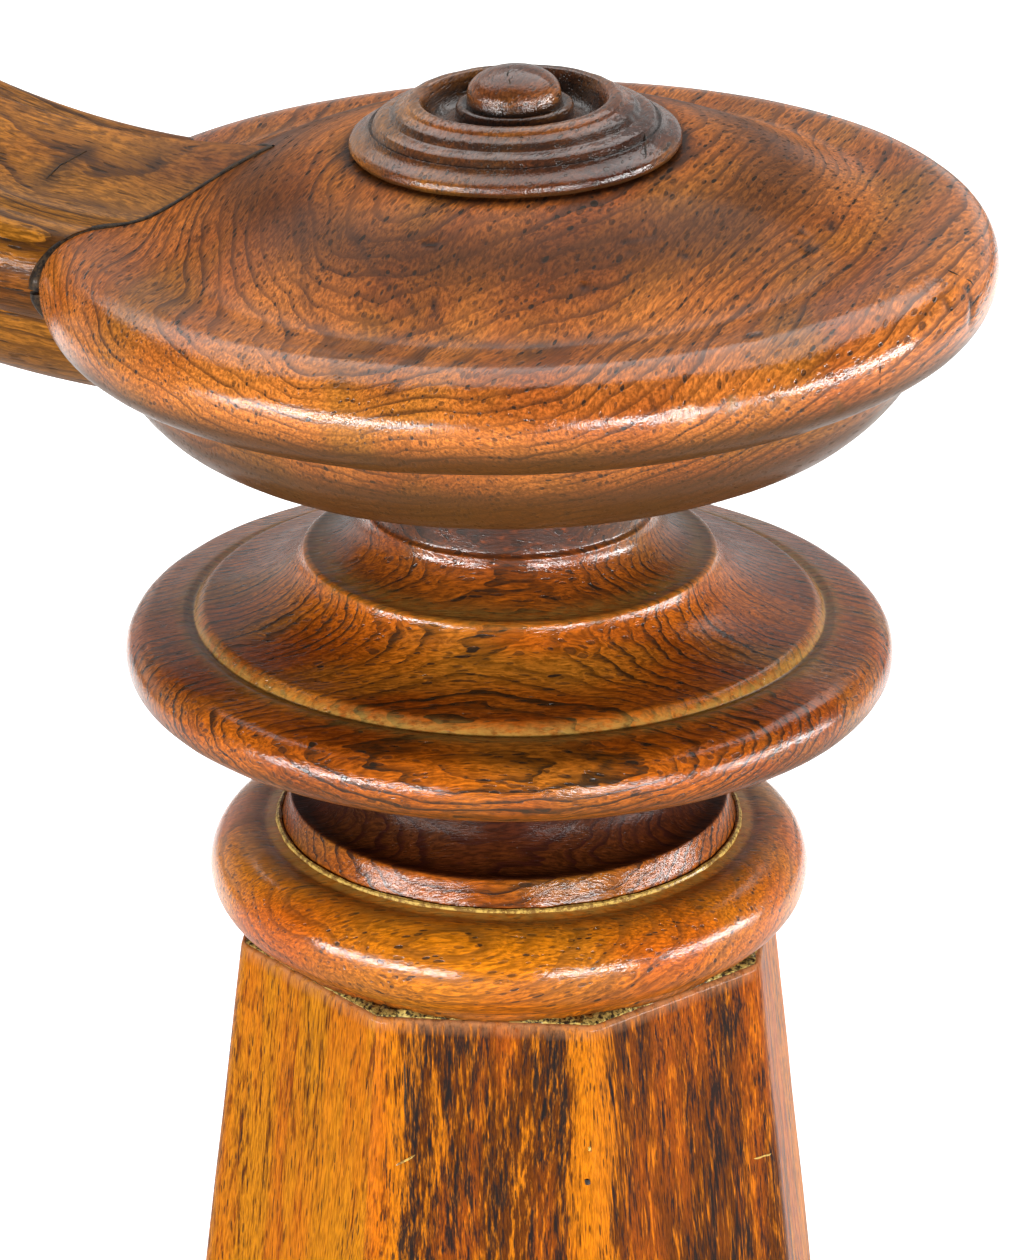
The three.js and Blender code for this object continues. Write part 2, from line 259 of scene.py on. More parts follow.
def spaced(points, step):
    """The profile with its long stretches divided, so that no two points are further apart than step."""
    out = [points[0]]
    for a, b in zip(points[:-1], points[1:]):
        pieces = max(1, math.ceil(np.linalg.norm(b - a) / step))
        out += [a + (b - a) * (i + 1) / pieces for i in range(pieces)]
    return np.array(out)


def joined(*parts):
    return np.vstack([np.atleast_2d(np.array(p, float)) for p in parts])


def cap_profile():
    edge = CAP_RADIUS - CAP_EDGE_DEPTH
    bowl_reach = edge - CAP_FLAT - 3
    return joined(
        (0, -CAP_UNDERSIDE),
        arc(CAP_FLAT, CAP_BOWL - CAP_UNDERSIDE, bowl_reach, CAP_BOWL, -90, -6, 26),
        arc(edge, 0, CAP_EDGE_DEPTH, CAP_EDGE_HEIGHT / 2, -102, 108, 48),
        bezier(
            (CAP_VALLEY, CAP_VALLEY_HEIGHT),
            (CAP_VALLEY - 9, CAP_VALLEY_HEIGHT),
            (CAP_SEAT + 25, CAP_SEAT_HEIGHT - 2.3),
            (CAP_SEAT, CAP_SEAT_HEIGHT),
            36,
        ),
        (0, CAP_SEAT_HEIGHT),
    )


def capital_profile():
    neck_middle = FILLET_HEIGHT + LOWER_NECK_HEIGHT / 2
    neck_depth = LOWER_NECK_EDGE - LOWER_NECK
    roll = GROOVE - 1.2
    span = roll - OGEE_TOP
    return joined(
        (0, 0),
        (FILLET_FOOT, 0),
        (FILLET_TOP, FILLET_HEIGHT),
        arc(LOWER_NECK_EDGE, neck_middle, neck_depth, LOWER_NECK_HEIGHT / 2, 270, 90, 24),
        arc(RING_CENTRE, RING_HEIGHT, RING, RING, -90, 75, 34),
        (GROOVE + 2, GROOVE_HEIGHT + 0.6),
        (GROOVE, GROOVE_HEIGHT),
        (roll, GROOVE_HEIGHT + OGEE_HEIGHT * 0.1),
        bezier(
            (roll - 1.5, GROOVE_HEIGHT + OGEE_HEIGHT * 0.18),
            (roll - span * 0.54, GROOVE_HEIGHT + OGEE_HEIGHT * 0.29),
            (OGEE_TOP + span * 0.05, GROOVE_HEIGHT + OGEE_HEIGHT * 0.59),
            (OGEE_TOP, OGEE_TOP_HEIGHT),
            28,
        ),
        arc(COVE, LIP_HEIGHT, COVE - LIP, COVE_HEIGHT - 0.5, -90, -180, 20),
        (UPPER_NECK, LIP_HEIGHT + 0.8),
        (UPPER_NECK, NECK_TOP),
        (0, NECK_TOP),
    )


def collar_profile():
    middle = COLLAR_FOOT + COLLAR_RING
    return joined(
        (0, 0),
        (COLLAR_FOOT_RADIUS, 0),
        arc(COLLAR_CENTRE, middle, COLLAR_RING, COLLAR_RING, -80, 100, 44),
        (COLLAR_SEAT, COLLAR_HEIGHT),
        (0, COLLAR_HEIGHT),
    )


def rosette_profile():
    return joined(
        (0, 0),
        (ROSETTE - 0.9, 0),
        (ROSETTE, 1.2),
        bezier(
            (ROSETTE - 0.3, 2.6),
            (ROSETTE - 1.4, 4.2),
            (ROSETTE_GROOVE + 1.6, 3.6),
            (ROSETTE_GROOVE + 0.4, 5.9),
            12,
        ),
        (ROSETTE_GROOVE - 0.1, 5.4),
        bezier(
            (ROSETTE_GROOVE - 1.2, 7.3),
            (ROSETTE_GROOVE - 2.4, 8.0),
            (ROSETTE_GROOVE - 4.0, 7.9),
            (ROSETTE_SHOULDER + 1.3, 8.2),
            8,
        ),
        (ROSETTE_SHOULDER, 9.9),
        (ROSETTE_SHOULDER - 1.1, 10.3),
        bezier(
            (ROSETTE_LIP + 1.9, ROSETTE_LIP_HEIGHT - 1.5),
            (ROSETTE_LIP + 1.4, ROSETTE_LIP_HEIGHT - 0.2),
            (ROSETTE_LIP - 0.6, ROSETTE_LIP_HEIGHT + 0.1),
            (CUP + 0.9, ROSETTE_LIP_HEIGHT - 0.3),
            9,
        ),
        bezier(
            (CUP, ROSETTE_LIP_HEIGHT - 1.6),
            (CUP - 1.0, CUP_FLOOR + 2.4),
            (CUP - 2.2, CUP_FLOOR + 0.2),
            (CUP - 4, CUP_FLOOR),
            9,
        ),
        (KNOB_BEAD + 0.2, CUP_FLOOR + 1.4),
        bezier(
            (KNOB_BEAD + 0.1, CUP_FLOOR + 2.2),
            (KNOB_BEAD + 0.5, CUP_FLOOR + 4.2),
            (KNOB_BEAD - 0.4, CUP_FLOOR + 5.1),
            (KNOB_BEAD - 1.6, CUP_FLOOR + 4.8),
            7,
        ),
        (KNOB + 0.3, CUP_FLOOR + 4.3),
        arc(0, KNOB_BASE, KNOB, KNOB_DOME, 0, 90, 24),
    )


# Meshes

def turned_grid(profile, segments):
    """Points of a turned form, one row a profile point, with no row quite on the axis."""
    radius = np.maximum(profile[:, 0], 0.15)
    angle = np.linspace(0, 2 * math.pi, segments, endpoint=False)
    grid = np.empty((len(profile), segments, 3))
    grid[:, :, 0] = radius[:, None] * np.cos(angle)
    grid[:, :, 1] = radius[:, None] * np.sin(angle)
    grid[:, :, 2] = profile[:, 1][:, None]
    return grid


def grid_faces(rows, columns, closed=True):
    """Quads of a grid whose rows run round, and the two end faces."""
    faces = []
    for i in range(rows - 1):
        for j in range(columns if closed else columns - 1):
            k = (j + 1) % columns
            faces.append((i * columns + j, i * columns + k, (i + 1) * columns + k, (i + 1) * columns + j))
    if closed:
        faces.append(tuple(range(columns - 1, -1, -1)))
        faces.append(tuple((rows - 1) * columns + j for j in range(columns)))
    return faces


def profile_normals(profile):
    along = np.gradient(profile, axis=0)
    length = np.maximum(np.linalg.norm(along, axis=1), 1e-9)
    return np.column_stack((along[:, 1], -along[:, 0])) / length[:, None]


def waves(points, scale, seed, octaves=3):
    """Smooth noise at each point, about -1 to 1, for forms a few times the scale across."""
    shift = Vector((seed * 7.31, seed * 3.17, seed * 5.73))
    flat = points.reshape(-1, 3)
    values = [noise.fractal(Vector(p) / scale + shift, 1.0, 2.0, octaves) for p in flat]
    return np.array(values).reshape(points.shape[:-1])


def push(grid, profile, amount):
    """Moves a turned grid's points along its outward normals."""
    normal = profile_normals(profile)
    radius = np.maximum(np.hypot(grid[:, :, 0], grid[:, :, 1]), 1e-6)
    grid[:, :, 0] += grid[:, :, 0] / radius * normal[:, 0][:, None] * amount
    grid[:, :, 1] += grid[:, :, 1] / radius * normal[:, 0][:, None] * amount
    grid[:, :, 2] += normal[:, 1][:, None] * amount


def make(name, points, faces, material, slot, matrix=None, nodes=(), marks=None, sharp=40):
    """An object from points in millimetres. Marks are values at each point that its material reads."""
    points = points.reshape(-1, 3)
    if matrix is not None:
        turn = np.array(matrix.to_3x3())
        points = points @ turn.T + np.array(matrix.translation)
    points = points * MM
    if slot:
        points = np.clip(points, cad_low, cad_high)
    mesh = bpy.data.meshes.new(name)
    mesh.from_pydata(points.tolist(), [], faces)
    mesh.validate()
    facing = np.empty(len(mesh.vertices) * 3, np.float32)
    mesh.vertices.foreach_get("normal", facing)
    # How much each point faces down: the turned woods paint shade there and thin their coat
    layer = mesh.attributes.new("under", "FLOAT", "POINT")
    layer.data.foreach_set("value", np.clip(-2.2 * facing[2::3] - 0.05, 0, 1))
    for mark, values in (marks or {}).items():
        layer = mesh.attributes.new(mark, "FLOAT", "POINT")
        layer.data.foreach_set("value", np.asarray(values, np.float32).ravel())
    mesh.shade_smooth()
    mesh.set_sharp_from_angle(angle=math.radians(sharp))
    mesh.materials.append(material)
    piece = bpy.data.objects.new(name, mesh)
    bpy.context.scene.collection.objects.link(piece)
    if slot:
        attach(piece, "root")
        if nodes:
            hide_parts(*nodes)
    return piece


# Node helpers

class Nodes:
    def __init__(self, name):
        self.material = bpy.data.materials.new(name)
        self.material.use_nodes = True
        self.tree = self.material.node_tree
        self.shader = self.tree.nodes["Principled BSDF"]

    def plug(self, socket, value):
        if isinstance(value, bpy.types.NodeSocket):
            self.tree.links.new(value, socket)
        else:
            socket.default_value = value

    def add(self, kind, inputs=None, **settings):
        node = self.tree.nodes.new(kind)
        for key, value in settings.items():
            setattr(node, key, value)
        for key, value in (inputs or {}).items():
            self.plug(node.inputs[key], value)
        return node

    def maths(self, operation, a, b=0.0, clamp=False):
        node = self.add("ShaderNodeMath", {0: a, 1: b}, operation=operation)
        node.use_clamp = clamp
        return node.outputs[0]

    def vector(self, operation, a, b=(0, 0, 0)):
        node = self.add("ShaderNodeVectorMath", {0: a, 1: b}, operation=operation)
        return node.outputs[0]

    def scaled(self, vector, sizes):
        """The vector divided by a size along each axis."""
        return self.vector("MULTIPLY", vector, tuple(1 / s for s in sizes))

    def fit(self, value, low, high, to_low=0.0, to_high=1.0, smooth=True):
        node = self.add(
            "ShaderNodeMapRange",
            {"Value": value, "From Min": low, "From Max": high, "To Min": to_low, "To Max": to_high},
        )
        node.interpolation_type = "SMOOTHSTEP" if smooth else "LINEAR"
        return node.outputs["Result"]

    def noise(self, vector, detail=2.0, roughness=0.5):
        inputs = {"Vector": vector, "Scale": 1.0, "Detail": detail, "Roughness": roughness}
        return self.add("ShaderNodeTexNoise", inputs)

    def mix(self, factor, a, b, blend="MIX"):
        node = self.add("ShaderNodeMix", data_type="RGBA", blend_type=blend)
        for socket, value in ((node.inputs[0], factor), (node.inputs[6], a), (node.inputs[7], b)):
            if isinstance(value, tuple) and len(value) == 3:
                value = (*value, 1.0)
            self.plug(socket, value)
        return node.outputs[2]

    def mark(self, name):
        return self.add("ShaderNodeAttribute", attribute_name=name).outputs["Fac"]

    def ramp(self, value, stops):
        node = self.add("ShaderNodeValToRGB", {"Fac": value})
        ramp = node.color_ramp
        while len(ramp.elements) < len(stops):
            ramp.elements.new(0.5)
        for element, (place, shade) in zip(ramp.elements, stops):
            element.position = place
            element.color = (shade, shade, shade, 1)
        return node.outputs["Color"]


def dashes(nodes, vector, sizes, low, high, soft=0.07):
    """Dark dashes, one in a cell, whose width varies from cell to cell."""
    cells = nodes.add(
        "ShaderNodeTexVoronoi",
        {"Vector": nodes.scaled(vector, sizes), "Scale": 1.0},
        feature="F1",
    )
    chance = nodes.add("ShaderNodeSeparateColor", {"Color": cells.outputs["Color"]}).outputs[0]
    width = nodes.fit(chance, 0.0, 1.0, low, high, smooth=False)
    over = nodes.maths("SUBTRACT", width, cells.outputs["Distance"])
    return nodes.fit(over, 0.0, soft)


def grain_space(nodes, pith, fibre):
    """Coordinates in millimetres with the fibres along Z and the heart of the tree on the axis."""
    turn = Vector(fibre).normalized().to_track_quat("Z", "Y").inverted()
    shift = -(turn @ Vector(pith))
    place = nodes.add("ShaderNodeTexCoord").outputs["Object"]
    mapping = nodes.add("ShaderNodeMapping", {"Vector": place}, vector_type="POINT")
    mapping.inputs["Location"].default_value = shift
    mapping.inputs["Rotation"].default_value = turn.to_euler()
    mapping.inputs["Scale"].default_value = (1 / MM,) * 3
    return mapping.outputs["Vector"]


def turned_wood(
    name, pith, fibre, light, deep, dark, spacing=3.0, ring_strength=0.85, warp=12.0, wiggle=1.2,
    pore=0.9, pore_size=(1.15, 1.15, 3.8), fleck=0.85, fleck_size=(7.0, 7.0, 19.0), coat=0.75,
    coat_roughness=0.13, rough=0.42, bump=1.0, residue_colour=(0.42, 0.24, 0.05),
    stain_colour=(0.017, 0.003, 0.002), gilt=(0.3, 0.12, 0.012), underside_shade=0.62,
):
    """Polished hardwood: growth rings, pores, flecks, drift of colour, dirt and dust in the grooves, painted shade on
    downward faces, in creases and in recesses, and a little painted light.
    """
    n = Nodes(name)
    local = grain_space(n, pith, fibre)
    slow = n.noise(n.scaled(local, (48, 48, 130)), 2.0).outputs["Color"]
    slow = n.vector("MULTIPLY", n.vector("SUBTRACT", slow, (0.5, 0.5, 0.5)), (warp * 2, warp * 2, 0))
    quick = n.noise(n.scaled(local, (5, 5, 15)), 2.0).outputs["Color"]
    quick = n.vector("MULTIPLY", n.vector("SUBTRACT", quick, (0.5, 0.5, 0.5)), (wiggle * 2, wiggle * 2, 0))
    bent = n.vector("ADD", n.vector("ADD", local, slow), quick)
    across = n.vector("MULTIPLY", bent, (1, 1, 0))
    length = n.add("ShaderNodeVectorMath", {0: across}, operation="LENGTH").outputs["Value"]
    phase = n.maths("DIVIDE", length, spacing)
    year = n.maths("FLOOR", phase)
    share = n.maths("FRACT", phase)
    strength = n.add("ShaderNodeTexWhiteNoise", {"W": year}, noise_dimensions="1D").outputs["Value"]
    strength = n.fit(strength, 0.1, 1.0, 0.65, 1.0, smooth=False)
    band = n.ramp(share, [(0.0, 0.0), (0.5, 0.05), (0.74, 0.7), (0.88, 1.0), (0.96, 1.0), (1.0, 0.0)])
    patch = n.noise(n.scaled(local, (16, 16, 40)), 2.0).outputs["Fac"]
    patch = n.fit(patch, 0.36, 0.62, 0.62, 1.0)
    ring = n.maths("MULTIPLY", n.maths("MULTIPLY", band, strength), patch)
    mottle = n.noise(n.scaled(bent, (0.7, 0.7, 3.2)), 3.0, 0.6).outputs["Fac"]
    broken = n.maths("MULTIPLY", n.maths("SUBTRACT", mottle, 0.5), 1.7)
    ring = n.fit(n.maths("ADD", ring, broken), 0.2, 0.85)

    drift = n.noise(n.scaled(local, (34, 34, 90)), 2.0).outputs["Fac"]
    drift = n.fit(drift, 0.34, 0.66)
    colour = n.mix(drift, light, deep)
    gold = n.noise(n.scaled(local, (26, 26, 60)), 2.0).outputs["Fac"]
    colour = n.mix(n.fit(gold, 0.46, 0.7, 0.0, 0.6), colour, gilt)
    colour = n.mix(n.maths("MULTIPLY", ring, ring_strength), colour, dark)
    fibre_noise = n.noise(n.scaled(bent, (0.55, 0.55, 16)), 3.0, 0.6).outputs["Fac"]
    fibre_tone = n.fit(fibre_noise, 0.3, 0.7, 0.7, 1.24)
    fibre_tone = n.add("ShaderNodeCombineColor", {0: fibre_tone, 1: fibre_tone, 2: fibre_tone}).outputs[0]
    colour = n.mix(1.0, colour, fibre_tone, "MULTIPLY")

    stain = n.mark("stain")
    colour = n.mix(n.maths("MULTIPLY", stain, 0.97), colour, stain_colour)
    colour = n.mix(n.mark("shade"), colour, (0.07, 0.02, 0.003))
    speckle = n.fit(mottle, 0.36, 0.64, 0.58, 1.25)
    speckle = n.add("ShaderNodeCombineColor", {0: speckle, 1: speckle, 2: speckle}).outputs[0]
    colour = n.mix(1.0, colour, speckle, "MULTIPLY")
    pits = dashes(n, bent, pore_size, -0.02, 0.48, 0.1)
    pores = n.maths("MULTIPLY", pits, n.fit(ring, 0.0, 0.6, 0.6, 1.0))
    pores = n.maths("MULTIPLY", pores, n.maths("SUBTRACT", 1.0, stain))
    flecks = dashes(n, bent, fleck_size, -0.35, 0.19, 0.1)
    fleck_edge = n.noise(n.scaled(bent, (0.7, 0.7, 2.4)), 2.0).outputs["Fac"]
    flecks = n.maths("MULTIPLY", flecks, n.fit(fleck_edge, 0.38, 0.58))
    colour = n.mix(n.maths("MULTIPLY", pores, pore), colour, (0.022, 0.012, 0.006))
    colour = n.mix(n.maths("MULTIPLY", flecks, fleck), colour, (0.02, 0.014, 0.009))

    dust_noise = n.noise(n.scaled(local, (1.6, 1.6, 3.0)), 3.0, 0.65).outputs["Fac"]
    # Pale mark: dust, and painted light in a few places. Dark mark: dirt, and painted shade in creases and recesses.
    residue = n.maths("MULTIPLY", n.mark("residue"), n.fit(dust_noise, 0.3, 0.6, 0.25, 1.0))
    soot = n.maths("MULTIPLY", n.mark("soot"), n.fit(dust_noise, 0.25, 0.55, 0.55, 1.0))
    colour = n.mix(soot, colour, (0.012, 0.008, 0.006))
    colour = n.mix(residue, colour, residue_colour)

    # Painted shade on surfaces that face down
    under = n.mark("under")
    colour = n.mix(n.maths("MULTIPLY", under, underside_shade), colour, (0.05, 0.022, 0.007))

    fine = n.noise(n.scaled(bent, (0.45, 0.45, 1.6)), 1.0, 0.6).outputs["Fac"]
    smear = n.noise(n.scaled(local, (22, 22, 30)), 2.0, 0.6).outputs["Fac"]
    roughness = n.fit(smear, 0.3, 0.7, rough - 0.07, rough + 0.1)
    roughness = n.maths("ADD", roughness, n.maths("MULTIPLY", residue, 0.35))
    roughness = n.maths("ADD", roughness, n.maths("MULTIPLY", pores, 0.2), clamp=True)
    height = n.maths("SUBTRACT", n.maths("MULTIPLY", fine, 0.5), n.maths("MULTIPLY", pits, 0.5))
    height = n.maths("ADD", height, n.maths("MULTIPLY", fibre_noise, 0.5))
    bumps = n.add("ShaderNodeBump", {"Strength": 0.8 * bump, "Distance": 0.12 * MM, "Height": height})
    n.plug(n.shader.inputs["Base Color"], colour)
    n.plug(n.shader.inputs["Roughness"], roughness)
    n.plug(n.shader.inputs["Normal"], bumps.outputs["Normal"])
    n.plug(n.shader.inputs["Coat Normal"], bumps.outputs["Normal"])
    polished = n.maths("SUBTRACT", 1.0, n.maths("MULTIPLY", under, 0.75))
    unworn = n.maths("SUBTRACT", 1.0, n.maths("MULTIPLY", n.mark("worn"), 0.86))
    unstained = n.maths("SUBTRACT", 1.0, n.maths("MULTIPLY", stain, 0.95))
    polished = n.maths("MULTIPLY", n.maths("MULTIPLY", polished, unworn), unstained)
    n.plug(n.shader.inputs["Coat Weight"], n.maths("MULTIPLY", polished, coat))
    n.shader.inputs["Coat Roughness"].default_value = coat_roughness
    n.shader.inputs["Coat IOR"].default_value = 1.55
    n.shader.inputs["Specular IOR Level"].default_value = 0.03
    return n.material


def streaked_wood(name, orange, brown, black, coat=0.22, coat_roughness=0.18, rough=0.48, bump=0.9):
    """Straight-grained faces: upright streaks, with marks for brightness and for the black figure."""
    n = Nodes(name)
    place = n.add("ShaderNodeTexCoord").outputs["Object"]
    local = n.vector("MULTIPLY", place, (1 / MM,) * 3)
    sway = n.noise(n.scaled(local, (30, 30, 160)), 1.0).outputs["Color"]
    sway = n.vector("MULTIPLY", n.vector("SUBTRACT", sway, (0.5, 0.5, 0.5)), (8, 8, 0))
    bent = n.vector("ADD", local, sway)
    wide = n.noise(n.scaled(bent, (3.6, 3.6, 220)), 2.0, 0.55).outputs["Fac"]
    narrow = n.noise(n.scaled(bent, (0.85, 0.85, 70)), 3.0, 0.65).outputs["Fac"]
    # Tone mark: brighter, less streaked wood; near some arrises partly a painted highlight
    tone = n.mark("tone")
    streak = n.maths("ADD", n.maths("MULTIPLY", wide, 0.35), n.maths("MULTIPLY", narrow, 0.65))
    streak = n.maths("SUBTRACT", streak, n.maths("MULTIPLY", tone, 0.13))
    colour = n.mix(n.mark("yellow"), orange, (0.4, 0.14, 0.003))
    colour = n.mix(n.fit(streak, 0.41, 0.55), colour, brown)
    glow = n.noise(n.scaled(local, (12, 12, 220)), 2.0).outputs["Fac"]
    colour = n.mix(n.fit(glow, 0.4, 0.65, 0.0, 0.45), colour, (0.42, 0.08, 0.003))

    line = n.noise(n.scaled(bent, (0.36, 0.36, 60)), 2.0, 0.6).outputs["Fac"]
    line = n.fit(line, 0.34, 0.66, 0.6, 1.2)
    line = n.add("ShaderNodeCombineColor", {0: line, 1: line, 2: line}).outputs[0]
    colour = n.mix(1.0, colour, line, "MULTIPLY")
    blotch = n.noise(n.scaled(bent, (0.8, 0.8, 36)), 3.0, 0.7).outputs["Fac"]
    cluster = n.noise(n.scaled(bent, (4, 4, 110)), 2.0).outputs["Fac"]
    figure = n.maths("ADD", n.maths("MULTIPLY", blotch, 0.7), n.maths("MULTIPLY", cluster, 0.45))
    figure = n.maths("ADD", figure, n.maths("MULTIPLY", n.mark("figure"), 0.17))
    colour = n.mix(n.fit(figure, 0.62, 0.78, 0.0, 0.94), colour, black)
    pores = dashes(n, bent, (0.75, 0.75, 9.0), -0.05, 0.36)
    colour = n.mix(n.maths("MULTIPLY", pores, 0.85), colour, (0.02, 0.009, 0.003))
    dust_noise = n.noise(n.scaled(local, (1.6, 1.6, 3.0)), 3.0, 0.65).outputs["Fac"]
    residue = n.maths("MULTIPLY", n.mark("residue"), n.fit(dust_noise, 0.3, 0.6, 0.3, 1.0))
    soot = n.maths("MULTIPLY", n.mark("soot"), n.fit(dust_noise, 0.25, 0.55, 0.5, 1.0))
    colour = n.mix(soot, colour, (0.012, 0.008, 0.006))
    colour = n.mix(residue, colour, (0.4, 0.17, 0.07))

    fine = n.noise(n.scaled(bent, (0.5, 0.5, 2.4)), 1.0, 0.6).outputs["Fac"]
    smear = n.noise(n.scaled(local, (22, 22, 60)), 2.0, 0.6).outputs["Fac"]
    roughness = n.fit(smear, 0.3, 0.7, rough - 0.06, rough + 0.1)
    roughness = n.maths("ADD", roughness, n.maths("MULTIPLY", pores, 0.2), clamp=True)
    height = n.maths("SUBTRACT", n.maths("MULTIPLY", fine, 0.5), n.maths("MULTIPLY", pores, 0.6))
    height = n.maths("ADD", height, n.maths("MULTIPLY", narrow, 0.6))
    bumps = n.add("ShaderNodeBump", {"Strength": 0.6 * bump, "Distance": 0.12 * MM, "Height": height})
    n.plug(n.shader.inputs["Base Color"], colour)
    n.plug(n.shader.inputs["Roughness"], roughness)
    n.plug(n.shader.inputs["Normal"], bumps.outputs["Normal"])
    n.plug(n.shader.inputs["Coat Normal"], bumps.outputs["Normal"])
    n.shader.inputs["Coat Weight"].default_value = coat
    n.shader.inputs["Coat Roughness"].default_value = coat_roughness
    n.shader.inputs["Coat IOR"].default_value = 1.5
    n.shader.inputs["Specular IOR Level"].default_value = 0.0
    return n.material


def crumbly(name, first, second, grain, coat):
    """Old filler, glue or dirt: two colours in crumbs."""
    n = Nodes(name)
    place = n.add("ShaderNodeTexCoord").outputs["Object"]
    local = n.vector("MULTIPLY", place, (1 / MM,) * 3)
    crumbs = n.noise(n.scaled(local, (grain,) * 3), 4.0, 0.7).outputs["Fac"]
    colour = n.mix(n.fit(crumbs, 0.42, 0.58), first, second)
    bumps = n.add("ShaderNodeBump", {"Strength": 0.8, "Distance": 0.4 * MM, "Height": crumbs})
    n.plug(n.shader.inputs["Base Color"], colour)
    n.plug(n.shader.inputs["Roughness"], n.fit(crumbs, 0.3, 0.7, 0.35, 0.75))
    n.plug(n.shader.inputs["Normal"], bumps.outputs["Normal"])
    n.shader.inputs["Coat Weight"].default_value = coat
    n.shader.inputs["Coat Roughness"].default_value = 0.2
    n.shader.inputs["Specular IOR Level"].default_value = 0.1
    return n.material


# Places of the head and the cap
cap_frame = (
    head
    @ Matrix.Translation((CAP_SHIFT, 0, CAP_PLANE - LEAN_PIVOT))
    @ Matrix.Rotation(math.radians(-CAP_LEAN), 4, "Y")
    @ Matrix.Translation((0, 0, LEAN_PIVOT))
)
rail_frame = cap_frame @ Matrix.Rotation(math.radians(180 - RAIL_TURN), 4, "Z")

# Woods
cap_middle = cap_frame.translation
cap_wood = turned_wood(
    "cap_wood",
    pith=(cap_middle.x - 6, cap_middle.y, cap_middle.z + 150),
    fibre=(0.3, 1, 0.02),
    light=(0.5, 0.15, 0.022),
    deep=(0.31, 0.074, 0.01),
    dark=(0.045, 0.016, 0.006),
    spacing=2.5,
    ring_strength=0.8,
    wiggle=0.8,
    pore_size=(1.3, 1.3, 4.6),
    pore=1.0,
    underside_shade=0.92,
    warp=9,
)
rosette_wood = turned_wood(
    "rosette_wood",
    pith=(cap_middle.x - 6, cap_middle.y, cap_middle.z + 150),
    fibre=(0.3, 1, 0.02),
    light=(0.2, 0.06, 0.014),
    deep=(0.05, 0.012, 0.004),
    dark=(0.02, 0.008, 0.005),
    coat=0.8,
    bump=2.0,
    ring_strength=0.3,
)
rail_wood = turned_wood(
    "rail_wood",
    pith=(cap_middle.x, cap_middle.y + 60, cap_middle.z - 90),
    fibre=(-1, 0.32, 0.12),
    light=(0.36, 0.13, 0.012),
    deep=(0.14, 0.038, 0.005),
    coat=0.4,
    dark=(0.03, 0.012, 0.006),
    pore_size=(1.1, 1.1, 7.0),
)
capital_wood = turned_wood(
    "capital_wood",
    pith=(10, -150, CAPITAL_BASE + 150),
    fibre=(1, 0.06, 0.05),
    light=(0.41, 0.097, 0.004),
    deep=(0.225, 0.042, 0.002),
    dark=(0.018, 0.01, 0.004),
    spacing=2.4,
    ring_strength=0.92,
    warp=9,
    wiggle=1.9,
    pore_size=(1.2, 1.2, 5.0),
    pore=1.0,
    bump=1.2,
)
collar_wood = turned_wood(
    "collar_wood",
    pith=(30, 60, SHAFT_TOP - 160),
    fibre=(1, 0.1, 0.16),
    light=(0.48, 0.14, 0.003),
    deep=(0.42, 0.085, 0.002),
    underside_shade=0.35,
    dark=(0.022, 0.012, 0.006),
    spacing=3.2,
    ring_strength=0.5,
)
shaft_wood = streaked_wood("shaft_wood", (0.45, 0.125, 0.002), (0.085, 0.02, 0.001), (0.006, 0.006, 0.006))
foot_wood = streaked_wood("foot_wood", (0.26, 0.08, 0.012), (0.1, 0.028, 0.007), (0.02, 0.014, 0.01))
glue = crumbly("old_glue", (0.55, 0.36, 0.08), (0.2, 0.1, 0.02), 1.4, 0.4)
crust = crumbly("crust", (0.02, 0.016, 0.01), (0.42, 0.3, 0.08), 1.1, 0.3)
filler = crumbly("dark_filler", (0.012, 0.009, 0.007), (0.05, 0.03, 0.015), 1.6, 0.1)


# Turned head

def near(value, centre, width):
    return np.exp(-((value - centre) / width) ** 2)


capital = spaced(rounded(capital_profile(), 0.7), 1.3)
grid = turned_grid(capital, 300)
push(grid, capital, 0.12 * waves(grid, 22, 1))
out, up = capital[:, 0], capital[:, 1]
groove = near(up, GROOVE_HEIGHT, 2.6) * near(out, GROOVE, 3.0)
# Wear, and a painted highlight, along the ogee's top arris
arris = near(up, OGEE_TOP_HEIGHT, 1.2) * 0.1
foot_dust = near(up, LIP_HEIGHT - COVE_HEIGHT + 1.5, 2.0) * near(out, 47, 3) * 0.4
neck_zone = (up > FILLET_HEIGHT - 0.3) & (up < FILLET_HEIGHT + LOWER_NECK_HEIGHT + 3) & (out < LOWER_NECK_EDGE + 6)
fillet_zone = up <= FILLET_HEIGHT - 0.3
# Dirt and painted shade in the recess under the cap: up the neck above the lip, and over the cove
neck_dirt_and_shade = 0.8 * near(up, LIP_HEIGHT + 14, 15) * (out < LIP + 0.5) * (up > LIP_HEIGHT)
cove_dirt_and_shade = 0.5 * near(out, 41, 12) * (up > OGEE_TOP_HEIGHT + 0.5)


def rows(values):
    """A value at each profile point, repeated round the turned form."""
    return np.repeat(np.asarray(values, float)[:, None], grid.shape[1], axis=1)


capital_piece = make(
    "capital_turned", grid, grid_faces(*grid.shape[:2]), capital_wood, "capital_wood",
    Matrix.Translation((0, 0, CAPITAL_BASE)), ["capital"],
    {
        "residue": rows(0.7 * groove + arris + foot_dust),
        "soot": rows(np.clip(neck_dirt_and_shade + cove_dirt_and_shade, 0, 0.85)),
        "stain": rows(0.95 * neck_zone + 0.35 * fillet_zone),
    },
)

